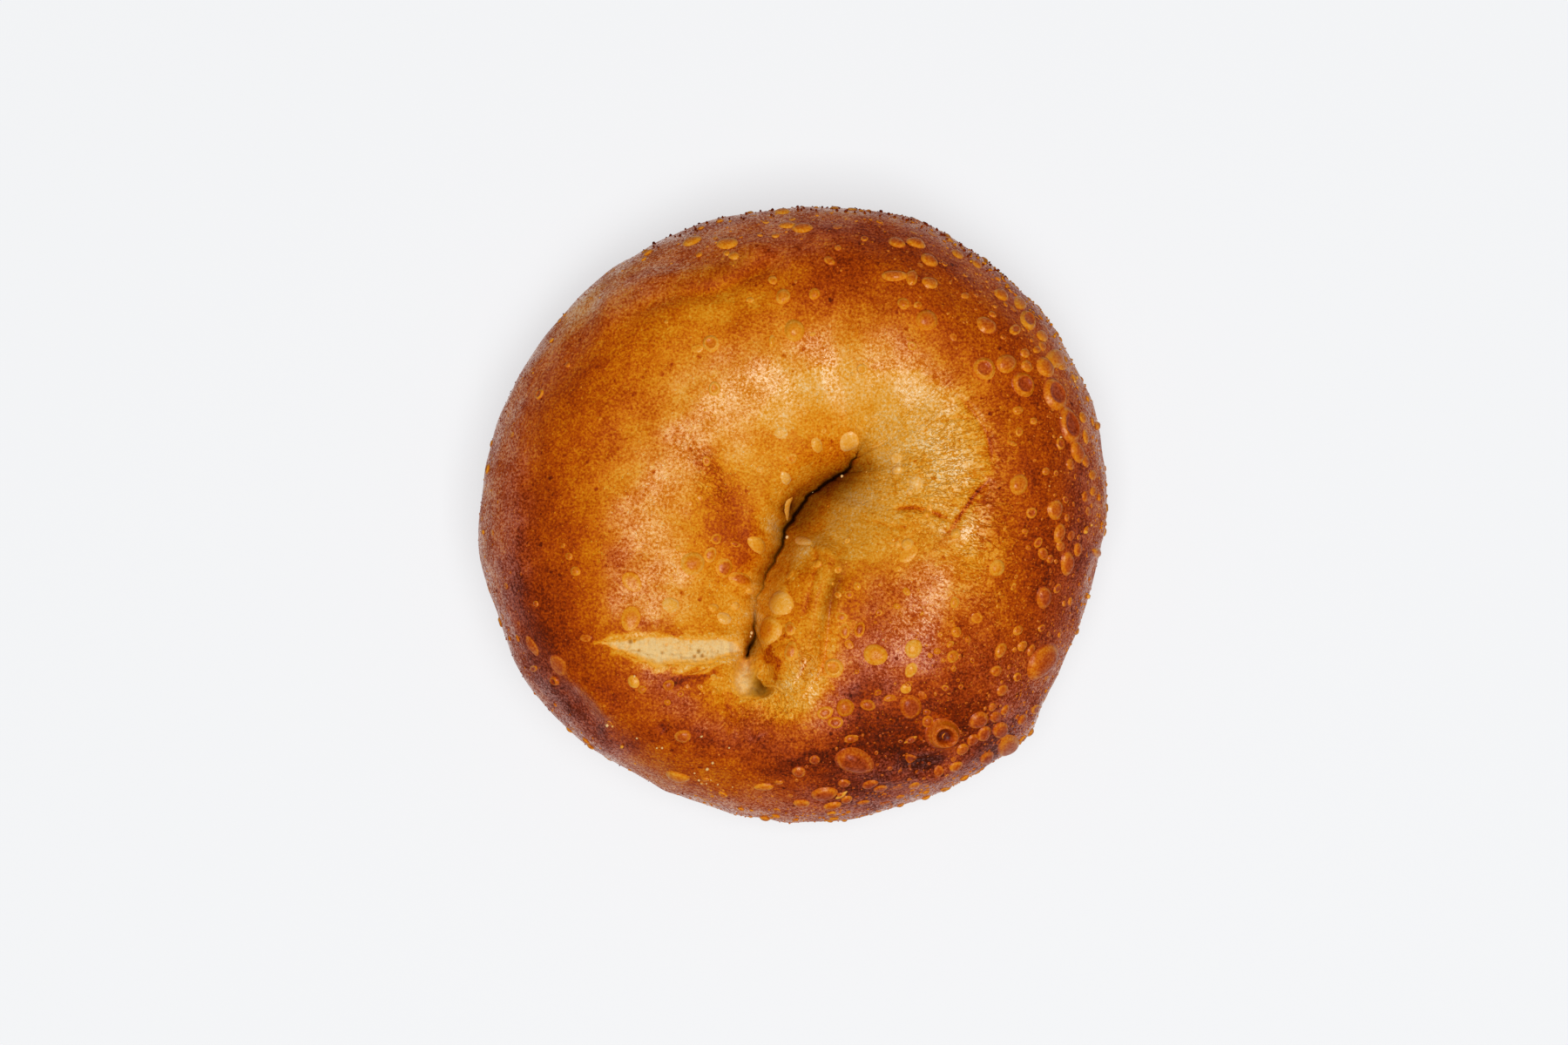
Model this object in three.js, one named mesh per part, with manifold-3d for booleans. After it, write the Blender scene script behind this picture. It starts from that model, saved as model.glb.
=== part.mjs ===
// A plain bagel, baked with its hole closed to a slit, as one solid of bread.
// Millimetres, +Z up, standing on its flat underside, origin under the middle of its box.
import * as THREE from 'three';
import { mergeVertices } from 'three/addons/utils/BufferGeometryUtils.js';
import Module from 'manifold-3d';

// Whole bagel
const CREST_HEIGHT = 40.5; // floor to the top of the ring
const GIRTH_HEIGHT = 17; // floor to the widest place
const OUTLINE_RADIUS = 53.3; // seen from above, before its swellings
const CREST_SHARE = 0.46; // where the crest lies between the slit and the outline
const FLANK_POWER = 2.05; // 2 is a round flank, more is squarer
const FOOT_INSET = 13; // how far the flat underside stays inside the outline
const DISH_DEPTH = 5; // how far the surface falls from the crest to the slit's lips
const DISH_POWER = 2.2;

// Swellings of the outline: direction in degrees, spread in degrees, height
const OUTLINE_SWELLINGS = [
  [36, 44, 2.9],
  [196, 32, 1.9],
  [245, 9, -0.7],
  [276, 12, 0.9],
  [308, 17, 2.7],
  [343, 11, -0.5],
];

// Ups and downs of the crest round the ring: direction, spread, height
const CREST_SWELLINGS = [
  [150, 30, -1.2],
  [95, 22, -1.6],
  [10, 30, -0.6],
  [262, 22, -2.4],
];

// The slit where the ends of the hole met: points from its upper right end to its lower left
// end, with the depth of the valley and the width of its gentle lower right wall at each
const SLIT_LINE = [
  [11.3, 10.7], [8.7, 6.9], [3.4, 3.8], [-0.8, -1.5], [-3.8, -9.2], [-6.4, -16.3], [-7.9, -24.8],
];
const SLIT_DEPTHS = [2.5, 8, 10, 10, 7, 3.5, 4];
const SLIT_GENTLE_WIDTHS = [2.5, 4.5, 5.5, 4.5, 2.6, 1.8, 2];
const SLIT_STEEP_WIDTH = 1.1; // the upper left lip hangs almost straight down
const SLIT_HEADING = 61.6; // from its lower left end to its upper right end

// Strokes laid along a line of points: the rope end beside the slit, its groove, the folds of
// the skin, the crease on the right and the burst crack
const STROKES = {
  ropeEnd: { line: [[2.5, -5.5], [0.5, -15], [0.2, -26], [-1.5, -32]], width: 4.6, height: 2.3 },
  ropeGroove: { line: [[7.5, -7.5], [6.8, -16], [6.6, -23], [5.2, -28]], width: 1.7, height: -1.3 },
  upperFold: {
    line: [[-32.1, 36.7], [-22.9, 40.6], [-13.8, 41.8], [-7.3, 45.2], [-2.6, 46.8]], width: 1.8, height: 1.1,
  },
  upperFoldValley: {
    line: [[-30, 40.6], [-22.9, 43.8], [-14, 45], [-8.5, 48.4]], width: 1.9, height: -1.1,
  },
  lowerFold: { line: [[-40.5, -27], [-35.1, -31.6], [-31, -36]], width: 1.8, height: 0.9 },
  lowerFoldValley: { line: [[-42, -30.5], [-37, -34.6], [-33, -38.4]], width: 1.9, height: -0.9 },
  rightCrease: { line: [[33.6, 5.8], [30.9, 1.8], [27.5, -3.1]], width: 1.2, height: -1 },
  scorchedDent: { line: [[17, -41.5], [22, -42.5], [27, -42]], width: 2.6, height: -1.4 },
};
const CRACK = {
  line: [[-33.6, -22.8], [-26, -23.6], [-17, -23.9], [-9, -24.4]],
  halfWidth: 3,
  depth: 2.6,
  tipLength: 11, // it narrows to a point over this length on the left
};
const CRUMB_WINDOW = { at: [-7.5, -29.2], radius: 3.8, depth: 1.8 };
const CRUMB_PIT = { at: [-5.4, -30.3], radius: 1.9, depth: 3 };
const WALL_SOFTNESS = 1.5; // width over which an opening's edge falls away

// The largest blisters: place, width across, how far they stand out
const BLISTER_SUNK = 1.7; // half thickness of a blister's ball, as a share of how far it stands out
const BLISTERS = [
  [26.4, -38.6, 5.8, 1.0], [10.5, -43.7, 6.2, 1.2], [37.9, -40.6, 3.6, 1.3], [44, -26, 5.4, 1.2],
  [46.3, 21.1, 5.4, 0.9], [48.4, 15.3, 4.4, 0.9], [40.3, 22.9, 4.4, 0.9], [33.8, 25.5, 3.7, 0.9],
  [34.1, 33.2, 3.2, 0.9], [37.6, 26.6, 3.4, 0.9], [46.1, 27.8, 3.4, 1.0], [39.7, 5.2, 3.2, 1.0],
  [46.1, 1.1, 3.2, 1.0], [20.3, -33.9, 3.8, 1.0], [32.4, -36.4, 3.3, 1.0], [44.2, -14.7, 3.4, 1.0],
  [48.1, -8.9, 3.4, 1.0], [14.7, -24.1, 3.8, 0.8], [-8.7, -11.3, 3.8, 0.9], [-17.6, -8.7, 3.5, 0.9],
  [0, 32.7, 3.4, 0.7], [-11.7, 47.4, 3.4, 0.8], [1.4, 50.6, 3.8, 0.8], [17.9, 42, 3.6, 0.8],
  [23.5, 34.1, 3.6, 0.8], [4.9, -48.7, 4, 0.9], [-4.3, -20.2, 4, 0.8], [-28, -18.3, 3.6, 0.6],
];

// The crease in the underside, where the hole closed from below
const DIMPLE_AT = [0.5, -5];
const DIMPLE_HALF_LENGTH = 12;
const DIMPLE_HALF_WIDTH = 4.8;
const DIMPLE_DEPTH = 4;
const DIMPLE_PINCH = 0.45; // length of the closed line at its bottom, as a share of its own

// Rings of points from the slit over the crest and the girth to the middle of the underside,
// counted in zones: slit to crest, crest to girth, girth to foot, flat foot, dimple
const ZONE_RINGS = [12, 17, 8, 3, 5];
const ZONE_POINTS = [56, 104, 144, 108, 64, 40]; // points in a ring where each zone starts
const SLIT_CROWDING = 1.35; // above 1, rings lie closer together near the slit
const CRACK_HEADING = 208; // direction in which the points of a ring lie closer together
const CRACK_SPREAD = 14;
const CRACK_CROWDING = 1.5;
const SHORTEST_EDGE = 0.02; // shorter edges left by a join are closed up

const DEGREE = Math.PI / 180;
const FULL_TURN = 2 * Math.PI;

const slitCurve = new THREE.SplineCurve(SLIT_LINE.map(([x, y]) => new THREE.Vector2(x, y)));
const slitDepths = new THREE.SplineCurve(SLIT_DEPTHS.map((depth, i) => new THREE.Vector2(i, depth)));
const slitWidths = new THREE.SplineCurve(SLIT_GENTLE_WIDTHS.map((width, i) => new THREE.Vector2(i, width)));

function angleBetween(a, b) {
  const turn = (a - b) % FULL_TURN;
  return Math.atan2(Math.sin(turn), Math.cos(turn));
}

function swelling(list, angle) {
  let total = 0;
  for (const [direction, spread, height] of list) {
    const away = angleBetween(angle, direction * DEGREE) / (spread * DEGREE);
    total += height * Math.exp(-away * away);
  }
  return total;
}

function outlinePoint(angle, inset) {
  const radius = OUTLINE_RADIUS + swelling(OUTLINE_SWELLINGS, angle) - inset;
  return new THREE.Vector2(radius * Math.cos(angle), radius * Math.sin(angle));
}

// Every direction round the bagel starts at its own place on the slit.
function slitShare(angle) {
  return (1 - Math.cos(angle - SLIT_HEADING * DEGREE)) / 2;
}

function slitPlunge(share, distance, angle) {
  const side = Math.sin(angle - SLIT_HEADING * DEGREE);
  const steepness = (1 + side) / 2;
  const width = THREE.MathUtils.lerp(slitWidths.getPoint(share).y, SLIT_STEEP_WIDTH, steepness);
  return slitDepths.getPoint(share).y * Math.exp(-Math.pow(distance / width, 1.5));
}

// The smooth upper surface: reach is 0 at the slit, 1 at the crest and 2 at the girth.
function upperPoint(reach, angle) {
  const share = slitShare(angle);
  const mouth = slitCurve.getPoint(share);
  const rim = outlinePoint(angle, 0);
  const crest = CREST_HEIGHT + swelling(CREST_SWELLINGS, angle);
  let across = CREST_SHARE * reach;
  let height = crest - DISH_DEPTH * Math.pow(Math.max(0, 1 - reach), DISH_POWER);
  if (reach > 1) {
    const turn = (reach - 1) * 90 * DEGREE;
    const outward = Math.pow(Math.sin(turn), 2 / FLANK_POWER);
    across = CREST_SHARE + (1 - CREST_SHARE) * outward;
    height = GIRTH_HEIGHT + (crest - GIRTH_HEIGHT) * Math.pow(Math.max(0, Math.cos(turn)), 2 / FLANK_POWER);
  }
  const distance = across * mouth.distanceTo(rim);
  const place = mouth.clone().lerp(rim, across);
  return new THREE.Vector3(place.x, place.y, height - slitPlunge(share, distance, angle));
}

// The lower surface: reach is 2 at the girth, 3 at the foot, 4 at the dimple, 5 at its bottom.
function lowerPoint(reach, angle) {
  if (reach <= 3) {
    const turn = (reach - 2) * 90 * DEGREE;
    const inward = 1 - Math.pow(Math.max(0, Math.cos(turn)), 2 / FLANK_POWER);
    const rim = outlinePoint(angle, FOOT_INSET * inward);
    const drop = Math.pow(Math.sin(turn), 2 / FLANK_POWER);
    return new THREE.Vector3(rim.x, rim.y, GIRTH_HEIGHT * (1 - drop));
  }
  const foot = outlinePoint(angle, FOOT_INSET);
  const heading = SLIT_HEADING * DEGREE;
  const lengthwise = DIMPLE_HALF_LENGTH * Math.cos(angle - heading);
  const crosswise = DIMPLE_HALF_WIDTH * Math.sin(angle - heading);
  const along = new THREE.Vector2(Math.cos(heading), Math.sin(heading));
  const beside = new THREE.Vector2(-along.y, along.x);
  const middle = new THREE.Vector2(DIMPLE_AT[0], DIMPLE_AT[1]);
  const edge = middle.clone().addScaledVector(along, lengthwise).addScaledVector(beside, crosswise);
  if (reach <= 4) {
    const place = foot.lerp(edge, reach - 3);
    return new THREE.Vector3(place.x, place.y, 0);
  }
  const inside = reach - 4;
  const pinch = middle.addScaledVector(along, lengthwise * DIMPLE_PINCH);
  const place = edge.lerp(pinch, inside);
  return new THREE.Vector3(place.x, place.y, DIMPLE_DEPTH * inside * inside * (3 - 2 * inside));
}

// Distance from a place to a line of points, and how far along that line it lies, from 0 to 1.
function nearestOnLine(line, x, y) {
  let best = { distance: Infinity, share: 0 };
  for (let i = 0; i < line.length - 1; i += 1) {
    const [ax, ay] = line[i];
    const dx = line[i + 1][0] - ax;
    const dy = line[i + 1][1] - ay;
    const along = THREE.MathUtils.clamp(((x - ax) * dx + (y - ay) * dy) / (dx * dx + dy * dy), 0, 1);
    const distance = Math.hypot(x - ax - along * dx, y - ay - along * dy);
    if (distance < best.distance) {
      best = { distance, share: (i + along) / (line.length - 1) };
    }
  }
  return best;
}

function strokeHeight({ line, width, height }, x, y) {
  const away = nearestOnLine(line, x, y).distance / width;
  return height * Math.exp(-away * away);
}

function openingDepth(distanceOutside, depth) {
  return depth * THREE.MathUtils.smoothstep(-distanceOutside, 0, WALL_SOFTNESS);
}

function crackDepth(x, y) {
  const { line, halfWidth, depth, tipLength } = CRACK;
  const { distance, share } = nearestOnLine(line, x, y);
  const fromTip = share * (line[line.length - 1][0] - line[0][0]);
  return openingDepth(distance - halfWidth * Math.min(1, Math.sqrt(fromTip / tipLength)), depth);
}

function pocketDepth({ at, radius, depth }, x, y) {
  return openingDepth(Math.hypot(x - at[0], y - at[1]) - radius, depth);
}

// How far strokes stand out from the smooth upper surface, or sink in where it is below 0
function strokeRelief(x, y) {
  return Object.values(STROKES).reduce((height, stroke) => height + strokeHeight(stroke, x, y), 0);
}

// How deep the burst openings are at a place, measured straight down
function openingsDepth(x, y) {
  return Math.max(crackDepth(x, y), pocketDepth(CRUMB_WINDOW, x, y)) + pocketDepth(CRUMB_PIT, x, y);
}

function upperNormal(reach, angle) {
  const step = 0.002;
  const inner = upperPoint(reach - step, angle);
  const outer = upperPoint(Math.min(2, reach + step), angle);
  const before = upperPoint(reach, angle - step);
  const after = upperPoint(reach, angle + step);
  return outer.sub(inner).cross(after.sub(before)).normalize();
}

function crustPoint(reach, angle) {
  if (reach > 2) {
    return lowerPoint(reach, angle);
  }
  const point = upperPoint(reach, angle);
  const { x, y } = point;
  const outward = reach < 1 ? new THREE.Vector3(0, 0, 1) : upperNormal(reach, angle);
  point.addScaledVector(outward, strokeRelief(x, y));
  point.z -= openingsDepth(x, y);
  return point;
}

// All rings in order, each with its reach and its number of points
function ringPlan() {
  const rings = [];
  ZONE_RINGS.forEach((count, zone) => {
    for (let i = 0; i < count; i += 1) {
      const share = zone === 0 ? Math.pow(i / count, SLIT_CROWDING) : i / count;
      const points = THREE.MathUtils.lerp(ZONE_POINTS[zone], ZONE_POINTS[zone + 1], share);
      rings.push({ reach: zone + share, points: 2 * Math.round(points / 2) });
    }
  });
  rings.push({ reach: ZONE_RINGS.length, points: ZONE_POINTS[ZONE_POINTS.length - 1] });
  return rings;
}

// Turns from the slit's heading, 0 to 1 of a full turn, closer together across the crack
function crowdedTurns(points) {
  const samples = 1440;
  const sums = [0];
  for (let i = 0; i < samples; i += 1) {
    const angle = SLIT_HEADING * DEGREE + (FULL_TURN * (i + 0.5)) / samples;
    const away = angleBetween(angle, CRACK_HEADING * DEGREE) / (CRACK_SPREAD * DEGREE);
    sums.push(sums[i] + 1 + CRACK_CROWDING * Math.exp(-away * away));
  }
  const turns = [];
  let sample = 0;
  for (let i = 0; i < points; i += 1) {
    const wanted = (sums[samples] * i) / points;
    while (sums[sample + 1] < wanted) {
      sample += 1;
    }
    turns.push((sample + (wanted - sums[sample]) / (sums[sample + 1] - sums[sample])) / samples);
  }
  return turns;
}

// The first and last ring are folded flat on a line, so both of their sides share its points.
function addRing(positions, { reach, points }, folded) {
  const start = positions.length / 3;
  const turns = folded ? Array.from({ length: points }, (_, i) => i / points) : crowdedTurns(points);
  turns.slice(0, folded ? points / 2 + 1 : points).forEach((turn) => {
    positions.push(...crustPoint(reach, SLIT_HEADING * DEGREE + FULL_TURN * turn).toArray());
  });
  const corners = turns.map((_, i) => start + (folded ? Math.min(i, points - i) : i));
  return { turns: [...turns, 1], corners: [...corners, corners[0]] };
}

// Where the middle of a ring's next edge lies, or past the end of it when there is none
function nextMiddle({ turns }, i) {
  return i < turns.length - 1 ? (turns[i] + turns[i + 1]) / 2 : Infinity;
}

// Triangles between two rings, taking the next point from whichever ring lags behind
function stitchRings(triangles, inner, outer) {
  let i = 0;
  let j = 0;
  while (i < inner.corners.length - 1 || j < outer.corners.length - 1) {
    const useInner = nextMiddle(inner, i) <= nextMiddle(outer, j);
    const next = useInner ? inner.corners[i + 1] : outer.corners[j + 1];
    if (inner.corners[i] !== next && outer.corners[j] !== next) {
      triangles.push(inner.corners[i], outer.corners[j], next);
    }
    i += useInner ? 1 : 0;
    j += useInner ? 0 : 1;
  }
}

function breadGeometry() {
  const positions = [];
  const triangles = [];
  const plan = ringPlan();
  let inner = addRing(positions, plan[0], true);
  plan.slice(1).forEach((ring, k) => {
    const outer = addRing(positions, ring, k === plan.length - 2);
    stitchRings(triangles, inner, outer);
    inner = outer;
  });
  const geometry = new THREE.BufferGeometry();
  geometry.setAttribute('position', new THREE.Float32BufferAttribute(positions, 3));
  geometry.setIndex(triangles);
  return geometry;
}

const wasm = await Module();
wasm.setup();

function solidFrom(geometry) {
  const mesh = new wasm.Mesh({
    numProp: 3,
    vertProperties: new Float32Array(geometry.getAttribute('position').array),
    triVerts: new Uint32Array(geometry.getIndex().array),
  });
  return new wasm.Manifold(mesh);
}

function geometryFrom(solid) {
  const { vertProperties, triVerts } = solid.getMesh();
  const geometry = new THREE.BufferGeometry();
  geometry.setAttribute('position', new THREE.BufferAttribute(vertProperties, 3));
  geometry.setIndex(new THREE.BufferAttribute(triVerts, 1));
  return geometry;
}

// A blister is the top of a flattened ball, sunk into the crust and square to it.
function blisterGeometry([x, y, across, rise], bread) {
  const above = new THREE.Vector3(x, y, 2 * CREST_HEIGHT);
  const [hit] = new THREE.Raycaster(above, new THREE.Vector3(0, 0, -1)).intersectObject(bread);
  const tilt = new THREE.Quaternion().setFromUnitVectors(new THREE.Vector3(0, 0, 1), hit.face.normal);
  const thickness = rise * BLISTER_SUNK;
  const middle = hit.point.addScaledVector(hit.face.normal, rise - thickness);
  const ball = new THREE.IcosahedronGeometry(1, 1);
  ball.deleteAttribute('normal');
  ball.deleteAttribute('uv');
  ball.scale(across / 2, across / 2, thickness);
  ball.applyQuaternion(tilt);
  ball.translate(middle.x, middle.y, middle.z);
  return mergeVertices(ball);
}

const crust = new THREE.MeshStandardMaterial({ color: 0xb8661f, roughness: 0.4, metalness: 0 });
const bread = new THREE.Mesh(breadGeometry(), crust);
const blistered = BLISTERS.reduce(
  (solid, blister) => solid.add(solidFrom(blisterGeometry(blister, bread))),
  solidFrom(bread.geometry),
);

const geometry = geometryFrom(blistered.asOriginal().simplify(SHORTEST_EDGE));
geometry.computeBoundingBox();
const middle = geometry.boundingBox.getCenter(new THREE.Vector3());
geometry.translate(-middle.x, -middle.y, -geometry.boundingBox.min.z);
geometry.computeVertexNormals();

const bagel = new THREE.Mesh(geometry, crust);
bagel.name = 'bagel';

const model = new THREE.Group();
model.add(bagel);

export default model;
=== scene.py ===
import math
from itertools import combinations

import bpy
import numpy as np
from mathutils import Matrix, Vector
from mathutils.bvhtree import BVHTree


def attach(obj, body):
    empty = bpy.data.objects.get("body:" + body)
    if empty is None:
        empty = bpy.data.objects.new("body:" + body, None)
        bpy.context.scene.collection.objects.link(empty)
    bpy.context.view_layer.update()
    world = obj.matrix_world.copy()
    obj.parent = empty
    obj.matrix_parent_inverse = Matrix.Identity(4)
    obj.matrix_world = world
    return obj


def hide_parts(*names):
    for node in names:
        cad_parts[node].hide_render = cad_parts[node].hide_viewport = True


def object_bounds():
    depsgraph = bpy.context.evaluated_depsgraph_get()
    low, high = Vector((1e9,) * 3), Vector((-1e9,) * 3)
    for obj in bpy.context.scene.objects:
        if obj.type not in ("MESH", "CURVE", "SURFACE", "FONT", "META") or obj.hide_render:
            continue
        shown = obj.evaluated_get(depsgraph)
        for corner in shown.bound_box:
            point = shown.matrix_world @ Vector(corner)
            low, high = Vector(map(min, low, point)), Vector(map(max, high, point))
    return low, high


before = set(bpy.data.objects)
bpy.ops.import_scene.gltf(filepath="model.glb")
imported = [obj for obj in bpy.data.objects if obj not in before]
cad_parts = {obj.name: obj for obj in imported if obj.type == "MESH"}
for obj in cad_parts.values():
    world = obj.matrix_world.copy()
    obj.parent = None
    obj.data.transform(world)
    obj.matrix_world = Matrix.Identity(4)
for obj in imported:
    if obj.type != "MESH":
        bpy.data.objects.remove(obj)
cad_low, cad_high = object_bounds()

# Lengths are millimetres in the bread's own frame, unless a name says otherwise.
MM = 0.001

# ---------------------------------------------------------------- sizes

# Whole bagel
CREST_HEIGHT = 40.5
GIRTH_HEIGHT = 17.0
OUTLINE_RADIUS = 53.3
CREST_SHARE = 0.46  # where the crest lies between the slit and the outline
FLANK_POWER = 2.05
FOOT_INSET = 13.0
DISH_DEPTH = 5.0
DISH_POWER = 2.2

# Direction in degrees, spread in degrees, height
OUTLINE_SWELLINGS = [
    (36, 44, 2.9), (196, 32, 1.9), (245, 9, -0.7), (276, 12, 0.9), (308, 17, 2.7), (343, 11, -0.5),
    (66.5, 7, 1.7), (8, 9, 0.72), (316.5, 5.5, 1.55), (283, 5, 0.6), (172, 14, 0.55), (213, 8, 0.55),
    (341, 7, 0.6), (245.5, 2.5, 0.5), (265, 4, -0.6), (95, 6, -0.3), (25, 7, -0.35),
]
CREST_SWELLINGS = [(150, 30, -1.2), (95, 22, -1.6), (10, 30, -0.6), (262, 22, -2.4)]

# The slit where the ends of the hole met: a funnel on both sides of a narrow gap. Each list runs
# from the upper right end of the line to its lower left end.
SLIT_LINE = [
    (11.3, 10.7), (8.7, 6.9), (3.4, 3.8), (-0.3, -1.7), (-3.8, -9.2), (-6.4, -16.3), (-7.6, -24.7),
]
SLIT_HEADING = math.radians(61.6)
FUNNEL_DEPTHS = [0.8, 4.2, 5.5, 6.0, 4.0, 1.8, 1.2]
FUNNEL_LEFT_WIDTHS = [2.6, 2.8, 2.8, 2.6, 2.6, 2.4, 2.2]
FUNNEL_RIGHT_WIDTHS = [3.5, 6.0, 8.0, 6.5, 2.6, 2.0, 2.2]
GAP_DEPTHS = [0.3, 3.6, 4.0, 3.4, 0.9, 0.6, 3.6]
GAP_HALF_WIDTHS = [0.18, 0.36, 0.22, 0.26, 0.18, 0.12, 0.50]
# Ragged lips: waves along the slit as count, size across it and phase
SLIT_WAVES = [(7, 0.24, 0.4), (13, 0.20, 2.1), (23, 0.15, 4.0), (37, 0.10, 1.2), (61, 0.06, 3.0)]

# The plan of the bagel seen from above: the size of a dot, and the dot over the middle
PLAN_DOT = 0.1528
PLAN_MIDDLE = (910, 590)

# The point that the plan is seen from, where the camera stands, and the width that the camera
# sees at a height a little over the floor
EYE = (-1.53, -1.53, 1600.0)
VIEW_WIDTH = 275.0
VIEW_WIDTH_HEIGHT = 20.0

# Strokes: line of plan dots, half width, height
STROKES = {
    "upper fold": ([(694, 392), (702, 352), (758, 320), (820, 312), (862, 286), (893, 277)], 2.4, 1.0),
    "upper fold valley": ([(712, 366), (764, 340), (822, 333), (868, 308), (897, 294)], 1.6, -0.6),
    "lower fold": ([(640, 768), (680, 797), (707, 826)], 1.6, 0.9),
    "lower fold valley": ([(632, 792), (668, 818), (694, 842)], 1.7, -0.9),
    "left fold": ([(577, 690), (590, 722), (610, 752)], 1.0, 0.4),
    "right crease": ([(1136, 550), (1121, 566), (1112, 578), (1100, 596), (1088, 618)], 0.50, -0.76),
    "right crease lip": ([(1128, 548), (1108, 572), (1094, 592)], 0.7, 0.35),
    "middle crease": ([(1024, 586), (1046, 583), (1070, 588), (1094, 599)], 0.45, -0.60),
    "middle crease lip": ([(1040, 595), (1066, 594), (1090, 606)], 0.7, 0.25),
    "upper crease": ([(1080, 486), (1100, 478), (1118, 484)], 0.40, -0.28),
    "border crease": ([(1096, 452), (1118, 474), (1134, 500), (1139, 530), (1136, 548)], 0.50, -0.44),
    "lower seam": ([(984, 650), (968, 662), (955, 684), (951, 704), (948, 740), (944, 768), (926, 788)],
                   0.9, -0.55),
    "rope crease": ([(925, 622), (938, 640), (930, 680), (922, 712)], 0.4, -0.36),
    "rope lip": ([(916, 622), (934, 631), (950, 632), (962, 642)], 0.6, 0.5),
    "second rope crease": ([(907, 640), (904, 668), (912, 700)], 0.35, -0.3),
    "crease left of the slit": ([(818, 530), (834, 562), (846, 598), (858, 640)], 1.8, -0.35),
    "short crease": ([(1002, 598), (1020, 604), (1046, 606)], 0.4, -0.3),
    "scorched dent": ([(1030, 868), (1056, 876), (1092, 866)], 1.2, -1.15),
    "scorched shelf": ([(990, 884), (1034, 893), (1096, 880), (1140, 850)], 1.6, 0.6),
    "dark dent": ([(757, 829), (766, 842)], 1.0, -0.7),
    "bottom crease": ([(888, 842), (863, 872), (850, 884)], 0.7, -0.3),
    "valley below the crack": ([(828, 785), (836, 815), (850, 828)], 0.8, -0.35),
}

# Lumps: closed line of plan dots, height, width of their rounded edge
LUMPS = {
    "rope end": ([(904, 618), (924, 611), (948, 606), (966, 622), (968, 655), (957, 690), (953, 725),
                  (948, 752), (936, 782), (916, 806), (893, 800), (880, 783), (872, 762), (869, 735),
                  (874, 700), (885, 665), (896, 636)], 1.6, 3.2),
    "rope tip": ([(884, 744), (905, 735), (928, 745), (936, 768), (920, 790), (896, 796), (884, 776)],
                 0.3, 1.5),
    "pink skin": ([(1085, 612), (1106, 592), (1134, 556), (1165, 570), (1180, 640), (1160, 700),
                   (1110, 730), (1040, 720), (1010, 670), (1040, 625)], 0.4, 5.5),
    "left lobe": ([(905, 585), (930, 560), (962, 545), (975, 525), (945, 490), (900, 490), (862, 530),
                   (850, 580), (870, 610), (895, 610)], 0.6, 5.0),
}

# Openings that show the crumb: closed line of plan dots
CRACK_OUTLINE = [
    (684, 739), (701, 735), (724, 733), (750, 730), (772, 731), (790, 734), (814, 733), (838, 733),
    (848, 739), (853, 747), (845, 752), (834, 753), (826, 756), (816, 762), (798, 764), (776, 762),
    (757, 766), (739, 761), (723, 754), (709, 747), (696, 741),
]
WINDOW_OUTLINE = [
    (850, 758), (863, 755), (869, 768), (872, 779), (880, 787), (889, 791), (885, 799), (873, 804),
    (860, 804), (848, 801), (840, 791), (838, 779), (843, 767),
]
PIT_AT = (879, 793)
PIT_RADIUS = 1.5
OPENING_DEPTH = 1.2
PIT_DEPTH = 0.5
WALL_WIDTH = 0.5

# The crease in the underside, where the hole closed from below
DIMPLE_AT = (0.5, -5.0)
DIMPLE_HALF_LENGTH = 12.0
DIMPLE_HALF_WIDTH = 4.8
DIMPLE_DEPTH = 4.0
DIMPLE_PINCH = 0.45

# Ring counts by zone: slit to crest, crest to girth, girth to foot, flat foot, crease
ZONE_RINGS = [66, 84, 18, 3, 10]
ZONE_POINTS = [300, 560, 790, 300, 110, 80]
SLIT_CROWDING = 1.3

# How dark the crust is baked, from 0 for bare crumb to 1 for a scorch, from the slit (reach 0)
# over the crest (reach 1), the girth (2) and the foot (3) to the middle of the underside (5)
BAKE_BY_REACH = [0.20, 0.18, 0.17, 0.19, 0.26, 0.45, 0.56, 0.47, 0.45, 0.48, 0.50, 0.52, 0.50,
                 0.50, 0.50, 0.50, 0.50, 0.45, 0.40, 0.36, 0.34]

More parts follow.
